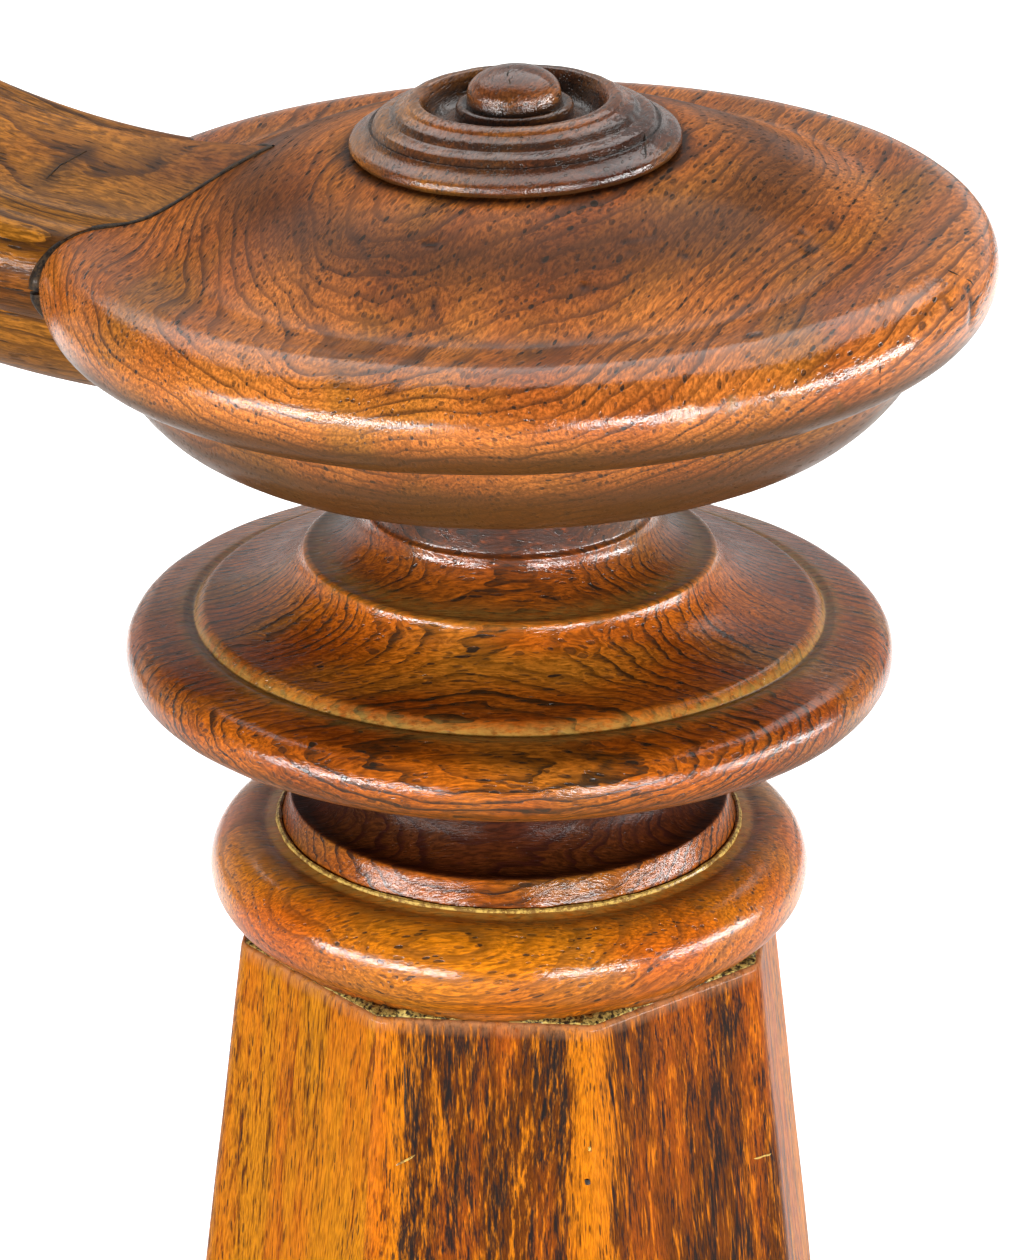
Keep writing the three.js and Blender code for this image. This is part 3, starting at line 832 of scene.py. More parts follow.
collar = spaced(rounded(collar_profile(), 0.6), 1.4)
grid = turned_grid(collar, 260)
push(grid, collar, 0.15 * waves(grid, 25, 2))
out, up = collar[:, 0], collar[:, 1]
collar_piece = make(
    "collar_turned", grid, grid_faces(*grid.shape[:2]), collar_wood, "collar_wood",
    Matrix.Translation((0, 0, SHAFT_TOP)), ["collar"],
    {
        # Pale at the seat's edge: dust. Pale over the top face further out: painted light, where the ring above shades
        # it.
        "residue": rows(0.5 * near(up, COLLAR_HEIGHT, 1.2) * near(out, COLLAR_SEAT + 1, 3) + 0.2 * near(out, COLLAR_SEAT + 5, 6) * (up > 13)),
        "soot": rows(0.6 * near(up, 0, 2.2) * (out > 55)),
    },
)

rosette = spaced(rounded(rosette_profile(), 0.35), 0.7)
grid = turned_grid(rosette, 320)
push(grid, rosette, 0.12 * waves(grid, 7, 3))
out, up = rosette[:, 0], rosette[:, 1]
around = np.degrees(np.arctan2(grid[0, :, 0], -grid[0, :, 1]))
chatter = np.sin(np.radians(around * 62)) * near(around, -38, 42)
push(grid, rosette, -0.22 * near(out, ROSETTE_LIP + 0.6, 2.6)[:, None] * (0.5 + 0.5 * chatter) * near(around, -38, 42))
push(grid, rosette, 0.16 * near(out, ROSETTE_SHOULDER, 3.0)[:, None] * waves(grid, 3.2, 17, 2))
# Dirt and painted shade in the rosette's grooves, over the floor of its cup and round the foot of the knob
pits = near(out, ROSETTE_GROOVE, 1.4) + near(out, ROSETTE_SHOULDER + 0.6, 1.1)
pits += near(out, CUP - 3, 4.0) * (up < CUP_FLOOR + 4) + near(out, KNOB + 0.8, 1.1) * (up < CUP_FLOOR + 7)
rosette_piece = make(
    "rosette_turned", grid, grid_faces(*grid.shape[:2]), rosette_wood, "rosette_wood",
    cap_frame @ Matrix.Translation((0, 0, CAP_SEAT_HEIGHT + GAP)), ["rosette"],
    {"residue": rows(0 * out), "soot": rows(np.clip(0.85 * pits, 0, 1))},
)


# Cap, with the mitred wedge for the rail left out of it

EDGE_REACH = math.sqrt(CAP_RADIUS ** 2 - (RAIL_WIDTH / 2) ** 2)
MITRE_SLOPE = (EDGE_REACH - MITRE_REACH) / (RAIL_WIDTH / 2)


def rail_across(radius):
    """Half width of the rail where the mitre crosses a radius of the cap."""
    a = 1 + MITRE_SLOPE ** 2
    b = MITRE_REACH * MITRE_SLOPE
    c = MITRE_REACH ** 2 - radius ** 2
    return (-b + np.sqrt(np.maximum(b * b - a * c, 0))) / a


def with_reach(profile):
    """The profile with a point wherever it passes the point of the mitre."""
    out = [profile[0]]
    for a, b in zip(profile[:-1], profile[1:]):
        if (a[0] - MITRE_REACH) * (b[0] - MITRE_REACH) < 0:
            out.append(a + (b - a) * (MITRE_REACH - a[0]) / (b[0] - a[0]))
        out.append(b)
    return np.array(out)


def eased(profile, low, high, fade, passes):
    """The profile smoothed between two radii of its upper side, less and less towards them."""
    out = profile.copy()
    share = np.clip((out[:, 0] - low) / fade, 0, 1) * np.clip((high - out[:, 0]) / fade, 0, 1)
    share = (share * (out[:, 1] > 0))[1:-1, None]
    for _ in range(passes):
        middle = (out[:-2] + 2 * out[1:-1] + out[2:]) / 4
        out[1:-1] += share * (middle - out[1:-1])
    return out


def thinned(profile, below, step):
    """The profile with fewer points under a height, where they stand closer than a step."""
    out = [profile[0]]
    for point in profile[1:-1]:
        if point[1] > below or np.linalg.norm(point - out[-1]) >= step:
            out.append(point)
    return np.array([*out, profile[-1]])


cap = eased(spaced(rounded(cap_profile(), 0.6), 1.3), CAP_SEAT + 6, CAP_RADIUS - 2.5, 8, 20)
cap = with_reach(thinned(thinned(cap, -CAP_EDGE_HEIGHT, 2.2), 100, 0.75))
CAP_SEGMENTS = 480
CROWN_STEEP = 66
radius = np.maximum(cap[:, 0], 0.15)
opening = np.where(radius > MITRE_REACH, np.arcsin(np.clip(rail_across(radius) / radius, 0, 1)), 0.0)
share = np.linspace(0, 1, CAP_SEGMENTS + 1)
angle = opening[:, None] + (2 * math.pi - 2 * opening[:, None]) * share
angle += math.radians(180 - RAIL_TURN)
grid = np.stack((radius[:, None] * np.cos(angle), radius[:, None] * np.sin(angle), np.repeat(cap[:, 1][:, None], CAP_SEGMENTS + 1, 1)), axis=2)
wobble = 0.15 * waves(grid[:, :-1], 30, 4)
wobble = np.column_stack((wobble, wobble[:, 0]))
push(grid, cap, wobble)
columns = CAP_SEGMENTS + 1
whole = opening < 1e-6


def cap_index(i, j):
    if j == CAP_SEGMENTS and whole[i]:
        j = 0
    return i * columns + j


faces = []
for i in range(len(cap) - 1):
    for j in range(CAP_SEGMENTS):
        quad = [cap_index(i, j), cap_index(i, j + 1), cap_index(i + 1, j + 1), cap_index(i + 1, j)]
        faces.append(tuple(dict.fromkeys(quad)))
cut_rows = [i for i in range(len(cap)) if cap[i, 0] >= MITRE_REACH - 1e-6]
faces.append(tuple(cap_index(i, 0) for i in cut_rows))
faces.append(tuple(cap_index(i, CAP_SEGMENTS) for i in reversed(cut_rows)))
faces.append(tuple(cap_index(0, j) for j in range(CAP_SEGMENTS - 1, -1, -1)))
faces.append(tuple(cap_index(len(cap) - 1, j) for j in range(CAP_SEGMENTS)))
out, up = cap[:, 0], cap[:, 1]
# Painted shadow on the cap round the rosette's foot, where the rosette stands a little proud
rosette_shadow = near(out, ROSETTE + 0.4, 2.4) * (up > 20)
cap_piece = make(
    "cap_turned", grid, faces, cap_wood, "cap_wood", cap_frame, ["cap"],
    {
        "residue": rows(0 * out),
        # Painted shadow round the rosette, and painted shade in the crease under the bullnose
        "soot": rows(0.9 * rosette_shadow + 0.25 * near(up, -CAP_EDGE_HEIGHT / 2, 2)),
        "worn": rows(np.clip((CAP_RADIUS - 5 - out) / 26, 0, 1) * (up > 0)),
        "shade": rows(0.86 * near(out, CROWN_STEEP - 3, 14) * (up > 0)),
    },
)


# Flaws seen on the cap: pixels of the photograph, half width, depth and darkness
CAP_PITS = [
    ([(675, 411), (676, 419)], 0.7, 0.35, 0.5, 0.4),
    ([(690, 409), (691, 418)], 0.7, 0.35, 0.4, 0.5),
    ([(366, 152), (372, 157)], 1.7, 0.7, 0.95, 0.0),
    ([(427, 243), (434, 243)], 1.2, 0.6, 0.95, 0.0),
    ([(584, 286)], 1.1, 0.5, 0.9, 0.0),
    ([(601, 302)], 0.9, 0.3, 0.8, 0.0),
    ([(748, 336), (758, 333)], 1.4, 0.5, 0.95, 0.0),
    ([(806, 250), (810, 246)], 1.3, 0.3, 0.9, 0.0),
    ([(830, 228), (833, 221)], 1.2, 0.3, 0.9, 0.0),
    ([(802, 232)], 1.2, 0.3, 0.8, 0.0),
    ([(686, 255)], 1.2, 0.3, 0.9, 0.0),
    ([(629, 251)], 1.1, 0.2, 0.6, 0.0),
    ([(434, 298), (435, 314)], 0.9, 0.3, 0.85, 0.0),
    ([(400, 382), (388, 394)], 1.0, 0.2, 0.85, 0.0),
    ([(972, 298), (971, 320)], 1.6, 0.5, 0.95, 0.0),
    ([(947, 302), (948, 308)], 1.1, 0.3, 0.8, 0.0),
    ([(730, 409), (733, 399)], 0.8, 0.3, 0.6, 0.3),
    ([(776, 402)], 0.9, 0.3, 0.7, 0.1),
    ([(836, 402), (840, 411)], 0.8, 0.3, 0.6, 0.3),
    ([(750, 437)], 1.0, 0.3, 0.5, 0.5),
    ([(620, 242), (655, 236)], 0.9, 0.1, 0.5, 0.0),
    ([(656, 420), (652, 400)], 0.9, 0.2, 0.6, 0.0),
]
DARK_FIGURE = [
    [(300, 205), (304, 250), (305, 300), (316, 319), (329, 335), (335, 362), (343, 384)],
    [(352, 232), (372, 268), (420, 318), (470, 345), (560, 348), (640, 330)],
]
for pixels, width, depth, dark, pale in CAP_PITS:
    flaw(cap_piece, pixels, width, depth, soot=dark, residue=pale)
for pixels in DARK_FIGURE:
    flaw(cap_piece, pixels, 1.3, soot=0.42)


# Handrail

RAIL_STAINS = [
    ([(45, 180), (62, 164), (87, 151)], 3.0, 0.75),
    ([(62, 124)], 2.4, 0.6),
    ([(155, 165), (162, 161)], 2.2, 0.5),
    ([(20, 105), (48, 112)], 2.6, 0.4),
]


def rail_section():
    """Half section of the rail from its bottom middle to its crown, and the same mirrored back down."""
    inside = cap[cap[:, 0] >= MITRE_REACH - 1e-6]
    half = np.column_stack((rail_across(inside[:, 0]), inside[:, 1]))
    half[0, 0] = half[-1, 0] = 0
    mirrored = half[1:-1][::-1] * (-1, 1)
    return np.vstack((half, mirrored))


def bend_up(points):
    past = points[..., 0] - RAIL_LEVEL
    turn = np.maximum(past, 0) / RAIL_RAMP_RADIUS
    arm = RAIL_RAMP_RADIUS - points[..., 2]
    bent = points.copy()
    bent[..., 0] = np.where(past > 0, RAIL_LEVEL + arm * np.sin(turn), points[..., 0])
    bent[..., 2] = np.where(past > 0, RAIL_RAMP_RADIUS - arm * np.cos(turn), points[..., 2])
    return bent


section = rail_section()
rail_end = RAIL_LEVEL + RAIL_RAMP_RADIUS * math.radians(RAIL_RAMP_ANGLE)
start = MITRE_REACH + MITRE_SLOPE * np.abs(section[:, 0]) + GAP * math.hypot(1, MITRE_SLOPE)
steps = np.linspace(0, 1, 90)
grid = np.empty((len(steps), len(section), 3))
grid[:, :, 0] = start + (rail_end - start) * steps[:, None]
grid[:, :, 1] = section[:, 0]
grid[:, :, 2] = section[:, 1]
grid = bend_up(grid)
rail_faces = [tuple(reversed(f)) for f in grid_faces(*grid.shape[:2])]
rail_piece = make(
    "handrail_run", grid, grid_faces(*grid.shape[:2]), rail_wood, "rail_wood", rail_frame, ["handrail"],
    {
        "residue": np.zeros(grid.shape[:2]),
        "soot": np.repeat(0.7 * near(steps, 0, 0.012)[:, None], len(section), 1),
        "worn": np.full(grid.shape[:2], 0.6),
    },
)
for pixels, width, dark in RAIL_STAINS:
    flaw(rail_piece, pixels, width, soot=dark)


# Mitre: old dark filler along both joints

def rope(path, radii, sides=10):
    """A closed tube along a path of points, as a grid."""
    path = np.array(path, float)
    along = np.gradient(path, axis=0)
    along /= np.maximum(np.linalg.norm(along, axis=1), 1e-9)[:, None]
    side = np.cross(along, (0.02, 0.01, 1.0))
    side /= np.maximum(np.linalg.norm(side, axis=1), 1e-9)[:, None]
    over = np.cross(side, along)
    turn = np.linspace(0, 2 * math.pi, sides, endpoint=False)
    ring = np.cos(turn)[None, :, None] * side[:, None] + np.sin(turn)[None, :, None] * over[:, None]
    return path[:, None] + ring * np.array(radii)[:, None, None]


top = cap[(cap[:, 0] >= MITRE_REACH - 1e-6) & (cap[:, 1] > -CAP_EDGE_HEIGHT / 2)]
for number, hand in enumerate((1, -1), 1):
    across = rail_across(top[:, 0]) * hand
    path = np.column_stack((MITRE_REACH + MITRE_SLOPE * np.abs(across) + 0.15, across, top[:, 1] - 0.35))
    bulk = 0.95 + 0.3 * waves(path * 1.0, 6, 6 + number) + 1.3 * near(top[:, 1], 1, 7) * (top[:, 0] > 104)
    grid = rope(path, np.maximum(bulk, 0.35))
    make(f"mitre_filler_{number}", grid, grid_faces(*grid.shape[:2]), filler, "rail_wood", rail_frame)


# Hairline cracks, each a thin dark line let into the surface
CAP_CRACKS = [
    [(928, 263), (951, 272), (971, 282), (978, 292)],
    [(879, 354), (880, 372), (879, 389)],
    [(316, 384), (321, 365)],
]
RAIL_CRACKS = [[(45, 180), (60, 165), (87, 151)], [(2, 287), (25, 291)]]
ROSETTE_CRACKS = [[(509, 66), (508, 74), (510, 85)], [(645, 132), (646, 148), (645, 163)]]


def hairline(name, carrier, pixels, width, slot, stuff=filler):
    corners = [sight_hit(carrier, *pixel)[0] / MM for pixel in pixels]
    path = [corners[0]]
    for a, b in zip(corners[:-1], corners[1:]):
        path += [a + (b - a) * (i + 1) / 6 for i in range(6)]
    path = np.array(path)
    path += np.column_stack([0.25 * waves(path, 2.5, seed, 2) for seed in (51, 52, 53)])
    ends = np.minimum(np.linspace(0.2, 6, len(path)), 1) * np.minimum(np.linspace(6, 0.2, len(path)), 1)
    grid = rope(path, width * ends, 6)
    make(name, grid, grid_faces(*grid.shape[:2]), stuff, slot)


for carrier, lines, slot in (
    (cap_piece, CAP_CRACKS, "cap_wood"),
    (rail_piece, RAIL_CRACKS, "rail_wood"),
    (rosette_piece, ROSETTE_CRACKS, "rosette_wood"),
):
    for number, pixels in enumerate(lines, 1):
        hairline(f"{slot[:-5]}_crack_{number}", carrier, pixels, 0.22, slot)


# Glue line and crust

ring_angle = np.linspace(0, 2 * math.pi, 241)[:-1]
thick = 0.75 + 0.3 * np.array([noise.noise(Vector((math.cos(a) * 9, math.sin(a) * 9, 4))) for a in ring_angle])
turn = np.linspace(0, 2 * math.pi, 9)[:-1]
out = COLLAR_SEAT - 0.3 + thick[:, None] * np.cos(turn)
grid = np.stack((
    out * np.cos(ring_angle)[:, None],
    out * np.sin(ring_angle)[:, None],
    CAPITAL_BASE + 0.1 + thick[:, None] * np.sin(turn),
), axis=2)


def ring_faces(count, around):
    """Quads of a ring-shaped grid that closes both ways."""
    faces = []
    for i in range(count):
        for j in range(around):
            k, m = (i + 1) % count, (j + 1) % around
            faces.append((i * around + j, k * around + j, k * around + m, i * around + m))
    return faces


make("glue_line", grid, ring_faces(*grid.shape[:2]), glue, "collar_wood")

ring_angle = np.linspace(0, 2 * math.pi, 721)[:-1]
side_angle = (np.degrees(ring_angle) + 90 + 22.5) % 45 - 22.5
octagon = SHAFT_TOP_CORNER * PER_CORNER / np.cos(np.radians(side_angle))
cross = np.array([(0, -0.8), (0.25, 0.5), (0.5, 1.0), (0.75, 0.9), (0.93, 0.3), (0.9, -0.8)])
inner = COLLAR_FOOT_RADIUS - 4.5
width = octagon - 0.7 - inner
out = inner + width[:, None] * cross[:, 0]
grid = np.stack((
    out * np.cos(ring_angle)[:, None],
    out * np.sin(ring_angle)[:, None],
    SHAFT_TOP + np.repeat(cross[:, 1][None], len(ring_angle), 0),
), axis=2)
lumps = waves(grid, 2.2, 9, 3)
grid[:, :, 2] += np.where(cross[:, 1] > 0, 0.8 * lumps, 0)
grid[:, :, 0] *= 1 + 0.004 * lumps
grid[:, :, 1] *= 1 + 0.004 * lumps
make("joint_crust", grid, ring_faces(*grid.shape[:2]), crust, "shaft_wood", sharp=60)


# Eight-sided work

def side_frame(index):
    """Turns +Y outward into the middle of one side; side 0 faces -Y."""
    return Matrix.Rotation(math.radians(45 * index - 180), 4, "Z")


def corner_radius(height):
    return SHAFT_BASE_CORNER - SHAFT_TAPER * (height - SHAFT_BASE)


ARRIS = 8.0


def stave_section(corner, gap=0.1):
    """One stave's outline, seen from above: mitre, rounded arris, face, rounded arris, mitre, back."""
    flat = corner * PER_CORNER
    half = corner * math.sin(HALF_SIDE)
    cut = ARRIS * math.tan(HALF_SIDE)
    sweep = np.linspace(HALF_SIDE, 0, 6)
    curve = np.column_stack((
        -half + cut - ARRIS * np.sin(sweep),
        flat - ARRIS + ARRIS * np.cos(sweep),
    ))
    middle = np.linspace(-half + cut, half - cut, 16)[1:-1]
    face = np.column_stack((middle, np.full(len(middle), flat)))
    outer = np.vstack((curve, face, curve[::-1] * (-1, 1)))
    inner_flat = flat - STAVE_THICKNESS
    inner_half = half - STAVE_THICKNESS * math.tan(HALF_SIDE)
    section = np.vstack((outer, [(inner_half, inner_flat), (-inner_half, inner_flat)]))
    section[:, 0] -= np.sign(section[:, 0]) * gap / 2 * (np.abs(section[:, 0]) > half - cut - 1e-6)
    return section


# For each stave: how bright its wood is, from the left edge to the right, and how much black figure. The bright bands
# beside the front stave's arrises and at the second stave's left edge are partly the wood's colour, partly painted
# highlight.
STAVE_TONES = {
    0: [(-1.0, 0.2), (-0.8, 0.9), (-0.6, 0.0), (0.0, -0.2), (0.7, -0.3), (0.86, 1.0), (1.0, 1.0)],
    1: [(-1.0, 1.0), (-0.9, 0.8), (-0.75, -0.4), (0.2, -0.4), (1.0, -0.2)],
    2: [(-1.0, -0.2), (0.0, 0.2), (1.0, 0.5)],
    3: [(-1.0, 0.4), (0.2, -0.1), (1.0, 0.3)],
    4: [(-1.0, 0.3), (0.0, -0.3), (1.0, 0.4)],
    5: [(-1.0, 0.5), (0.2, 0.1), (1.0, 0.2)],
    6: [(-1.0, 0.2), (0.0, 0.5), (1.0, 0.3)],
    7: [(-1.0, 0.6), (0.0, 0.5), (0.7, 0.9), (1.0, 0.6)],
}
STAVE_FIGURE = {
    0: [(-1.0, 0.0), (-0.82, 0.0), (-0.65, 0.7), (-0.1, 0.55), (0.3, 0.3), (0.7, 0.8), (0.84, 0.0), (1.0, 0.0)],
    1: [(-1.0, 0.0), (-0.8, 0.35), (0.0, 0.45), (0.6, 0.7), (1.0, 0.2)],
    2: [(-1.0, 0.2), (1.0, 0.2)],
    3: [(-1.0, 0.1), (0.0, 0.6), (1.0, 0.1)],
    4: [(-1.0, 0.4), (0.4, 0.1), (1.0, 0.3)],
    5: [(-1.0, 0.1), (0.0, 0.3), (1.0, 0.5)],
    6: [(-1.0, 0.3), (0.0, 0.1), (1.0, 0.1)],
    7: [(-1.0, -0.05), (0.3, -0.15), (0.7, 0.2), (1.0, -0.2)],
}

STAVE_YELLOW = (0.15, 0.0, 0.3, 0.6, 0.2, 0.5, 0.3, 0.9)

staves = []
STAVE_ROWS = 150
heights = np.concatenate((
    [SHAFT_BASE, SHAFT_BASE + 0.6],
    np.linspace(SHAFT_BASE + 4, SHAFT_TOP - 4, STAVE_ROWS),
    [SHAFT_TOP - 1.4, SHAFT_TOP - 0.5, SHAFT_TOP],
))
ease = np.concatenate(([0.6], np.zeros(STAVE_ROWS + 1), [0.0, 0.15, 0.7]))
for index in range(SIDES):
    sections = np.array([stave_section(corner_radius(h)) for h in heights])
    grid = np.empty((*sections.shape[:2], 3))
    grid[:, :, :2] = sections
    grid[:, :, 2] = heights[:, None]
    face_points = sections.shape[1] - 2
    outer = np.arange(sections.shape[1]) < face_points
    grid[:, outer, 1] += 0.18 * waves(grid[:, outer] + (index * 300, 0, 0), 40, 11 + index) - 0.1
    grid[:, outer, 1] -= ease[:, None]
    flat = corner_radius(heights) * math.sin(HALF_SIDE)
    lateral = -grid[:, :, 0] / flat[:, None]
    tone = np.interp(lateral, *zip(*STAVE_TONES[index]))
    figure = np.interp(lateral, *zip(*STAVE_FIGURE[index]))
    top_wear = near(heights, SHAFT_TOP, 1.6)
    faces = [tuple(reversed(f)) for f in grid_faces(*grid.shape[:2])]
    staves.append(make(
        f"stave_face_{index + 1}", grid, faces, shaft_wood, "shaft_wood", side_frame(index),
        [f"stave_{index + 1}"],
        {
            "tone": tone,
            "figure": figure,
            "yellow": np.full(lateral.shape, STAVE_YELLOW[index]),
            "residue": np.repeat(0.8 * top_wear[:, None], grid.shape[1], 1),
            "soot": np.repeat(0.5 * near(heights, SHAFT_BASE + FOOT_HEIGHT, 3)[:, None], grid.shape[1], 1),
        },
    ))

# Pale scratches and a nail hole seen on the shaft
for number, (side, pixels, width, stuff) in enumerate((
    (0, [(395, 1166), (405, 1161), (415, 1155)], 0.3, glue),
    (1, [(754, 1159), (772, 1153)], 0.25, glue),
    (0, [(590, 1147), (590, 1151)], 0.4, glue),
    (0, [(588, 1178), (588, 1185)], 0.7, filler),
    (0, [(405, 1058), (405, 1120)], 0.22, filler),
), 1):
    hairline(f"shaft_mark_{number}", staves[side], pixels, width, "shaft_wood", stuff)


def mitred(name, profile, index, node, columns=14):
    """One mitred length of an eight-sided moulding from a closed profile in corner radii."""
    share = np.linspace(-1, 1, columns)
    grid = np.empty((columns, len(profile), 3))
    half = profile[:, 0] * math.sin(HALF_SIDE)
    grid[:, :, 0] = share[:, None] * (half - 0.1)
    grid[:, :, 1] = profile[:, 0] * PER_CORNER
    grid[:, :, 2] = profile[:, 1]
    grid[:, :, 1] += 0.1 * waves(grid + (index * 300, 0, 0), 30, 31 + index) - 0.1
    marks = {key: np.zeros(grid.shape[:2]) for key in ("residue", "soot", "figure")}
    tone = 0.4 * noise.noise(Vector((index * 3.7, 1.3, len(profile))))
    marks["tone"] = np.full(grid.shape[:2], tone)
    make(name, grid, grid_faces(*grid.shape[:2]), foot_wood, "foot_wood", side_frame(index), [node], marks)


def foot_profile():
    out = SHAFT_BASE_CORNER + (GAP + FOOT_PROJECTION) / PER_CORNER
    inner_foot = SHAFT_BASE_CORNER + GAP / PER_CORNER
    inner_top = corner_radius(SHAFT_BASE + FOOT_HEIGHT) + GAP / PER_CORNER
    lip_edge = inner_top + FOOT_LIP
    foot_edge = FOOT_HEIGHT * 0.3
    rise = FOOT_HEIGHT - foot_edge
    return joined(
        (inner_foot, 0),
        (out, 0),
        (out, foot_edge),
        bezier(
            (out - FOOT_LIP / 2, foot_edge),
            (out - FOOT_LIP / 2, foot_edge + rise * 0.6),
            (lip_edge + FOOT_LIP, foot_edge + rise * 0.25),
            (lip_edge, FOOT_HEIGHT - FOOT_LIP),
            24,
        ),
        (lip_edge, FOOT_HEIGHT),
        (inner_top, FOOT_HEIGHT),
    )


PLINTH_CORNER = PLINTH_ACROSS_FLATS / 2 / PER_CORNER
foot = spaced(rounded(foot_profile(), 1.2), 3) + (0, SHAFT_BASE)
inner = PLINTH_CORNER - PLINTH_WALL / PER_CORNER
wall = [
    (inner, BASE_BOARD), (PLINTH_CORNER, BASE_BOARD), (PLINTH_CORNER, PLINTH_HEIGHT), (inner, PLINTH_HEIGHT),
]
wall = spaced(rounded(wall, 1.5), 6)
for index in range(SIDES):
    mitred(f"foot_moulding_run_{index + 1}", foot, index, f"foot_moulding_{index + 1}")
    mitred(f"plinth_face_{index + 1}", wall, index, f"plinth_board_{index + 1}")


def octagon_loop(corner, ease_radius, per_corner=5, per_side=12):
    """Plan of an eight-sided board with eased corners."""
    flat = corner * PER_CORNER
    half = corner * math.sin(HALF_SIDE)
    cut = ease_radius * math.tan(HALF_SIDE)
    points = []
    for index in range(SIDES):
        turn = math.radians(45 * index - 90)
        along = np.array((-math.sin(turn), math.cos(turn)))
        outward = np.array((math.cos(turn), math.sin(turn)))
        for t in np.linspace(-half + cut, half - cut, per_side):
            points.append(outward * flat + along * t)
        centre = outward * (flat - ease_radius) + along * (half - cut)
        for a in np.linspace(0, math.pi / 4, per_corner)[1:-1]:
            points.append(centre + ease_radius * (outward * math.cos(a) + along * math.sin(a)))
    return np.array(points)


def board(name, corner, bottom, top, node):
    rise = [(2.0, 0), (1.0, 0.3), (0.3, 1.0), (0, 2.0)]
    profile = [(corner - c, bottom + h) for c, h in rise] + [(corner - c, top - h) for c, h in reversed(rise)]
    loops = [octagon_loop(c, 3.0) for c, _ in profile]
    for share in (0.66, 0.33, 0.02):
        profile.append(((corner - 2) * share, top))
        loops.append(octagon_loop((corner - 2) * share, 3.0 * share))
    grid = np.empty((len(loops), len(loops[0]), 3))
    grid[:, :, :2] = np.array(loops)
    grid[:, :, 2] = np.array([h for _, h in profile])[:, None]
    marks = {key: np.zeros(grid.shape[:2]) for key in ("residue", "soot", "figure", "tone")}
    make(name, grid, grid_faces(*grid.shape[:2]), foot_wood, "foot_wood", None, [node], marks)


board("plinth_base_board", PLINTH_CORNER, 0, BASE_BOARD, "plinth_base")
board("plinth_top_board", PLINTH_CORNER + TOP_OVERHANG / PER_CORNER, PLINTH_HEIGHT, SHAFT_BASE, "plinth_top")


# Floor

def floor_material():
    n = Nodes("pale_floor")
    place = n.add("ShaderNodeTexCoord").outputs["Object"]
    drift = n.noise(n.vector("MULTIPLY", place, (0.8, 0.8, 0.8)), 1.0).outputs["Fac"]
    speck = n.noise(n.vector("MULTIPLY", place, (140, 140, 140)), 0.0).outputs["Fac"]
    colour = n.mix(n.fit(drift, 0.3, 0.7), (0.9, 0.9, 0.89), (0.87, 0.87, 0.865))
    bumps = n.add("ShaderNodeBump", {"Strength": 0.05, "Distance": MM, "Height": speck})
    n.plug(n.shader.inputs["Base Color"], colour)
    n.plug(n.shader.inputs["Roughness"], n.fit(drift, 0.3, 0.7, 0.7, 0.8))
    n.plug(n.shader.inputs["Normal"], bumps.outputs["Normal"])
    return n.material


FLOOR_REACH = 12000
line = np.linspace(-FLOOR_REACH, FLOOR_REACH, 25)
xs, ys = np.meshgrid(line, line, indexing="ij")
grid = np.stack((xs, ys, np.full_like(xs, -0.2)), axis=2)
flat_faces = [tuple(reversed(f)) for f in grid_faces(25, 25, closed=False)]
floor = make("floor", grid, flat_faces, floor_material(), None)


# Light: three soft boxes level with the cap, a pale panel over the floor behind, and a graded room

def soft_box(name, azimuth, elevation, distance, width, height, radiance):
    """A rectangular light that faces the cap, azimuth from the front face towards +X."""
    a, e = math.radians(azimuth), math.radians(elevation)
    way = Vector((math.sin(a) * math.cos(e), -math.cos(a) * math.cos(e), math.sin(e)))
    light = bpy.data.lights.new(name, "AREA")
    light.shape = "RECTANGLE"
    light.size, light.size_y = width, height
    light.energy = radiance * math.pi * width * height
    lamp = bpy.data.objects.new(name, light)
    bpy.context.scene.collection.objects.link(lamp)
    target = Vector((0, 0, CAP_PLANE * MM))
    lamp.location = target + way * distance
    lamp.rotation_euler = (-way).to_track_quat("-Z", "Y").to_euler()
    lamp.visible_camera = False
    return lamp


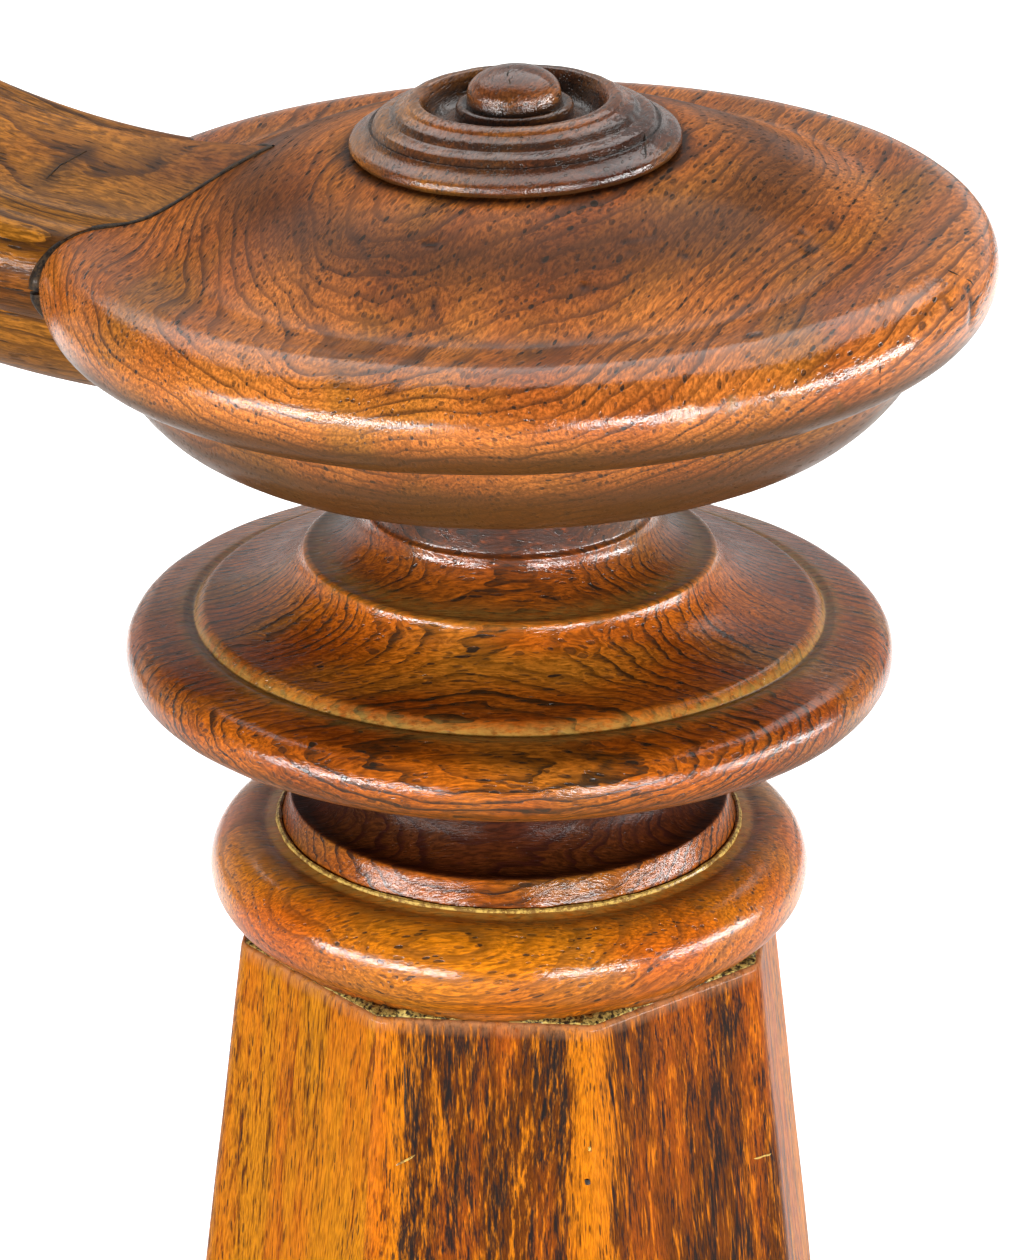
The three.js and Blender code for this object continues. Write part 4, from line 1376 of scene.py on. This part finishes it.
soft_box("soft_box_left", -46 + HEAD_TURN, 2, 8.0, 8.0, 0.75, 50)
soft_box("soft_box_front", 30 + HEAD_TURN, 3, 8.0, 4.8, 0.7, 50)
soft_box("soft_box_right", 80 + HEAD_TURN, 2, 8.0, 6.4, 0.75, 40)
soft_box("panel_high", 180, 64, 1.1, 2.0, 1.1, 2.6)
soft_box("panel_low", 180, 33, 3.0, 4.6, 1.8, 0.35)


def wash(name, across, height, width, depth, radiance):
    """A light that faces straight down on the floor behind the object."""
    lamp = soft_box(name, 180, 50, 3.0, width, depth, radiance)
    lamp.location = (0, across, height)
    lamp.rotation_euler = (0, 0, 0)


wash("floor_wash", 2.75, 0.9, 7.0, 3.1, 2.3)

world = bpy.data.worlds.new("room")
bpy.context.scene.world = world
world.use_nodes = True
tree = world.node_tree
background = tree.nodes["Background"]
sky_way = tree.nodes.new("ShaderNodeTexCoord")
split = tree.nodes.new("ShaderNodeSeparateXYZ")
tree.links.new(sky_way.outputs["Generated"], split.inputs[0])


def sky_range(source, low, high, dim, bright):
    node = tree.nodes.new("ShaderNodeMapRange")
    node.interpolation_type = "SMOOTHSTEP"
    for name, value in (("From Min", low), ("From Max", high), ("To Min", dim), ("To Max", bright)):
        node.inputs[name].default_value = value
    tree.links.new(source, node.inputs["Value"])
    return node.outputs["Result"]


def sky_maths(operation, a, b):
    node = tree.nodes.new("ShaderNodeMath")
    node.operation = operation
    tree.links.new(a, node.inputs[0])
    tree.links.new(b, node.inputs[1])
    return node.outputs[0]


# Bright along the horizon behind, dim in front, a little light overhead
horizon = sky_range(split.outputs["Z"], 0.0, 0.45, 0.85, 0.1)
behind = sky_range(split.outputs["Y"], -0.2, 0.7, 0.3, 1.0)
overhead = sky_range(split.outputs["Z"], 0.3, 0.9, 0.0, 0.08)
strength = sky_maths("ADD", sky_maths("MULTIPLY", horizon, behind), overhead)
tree.links.new(strength, background.inputs["Strength"])
background.inputs["Color"].default_value = (1, 1, 1, 1)

bpy.context.scene.view_settings.view_transform = "Standard"
bpy.context.scene.view_settings.look = "None"
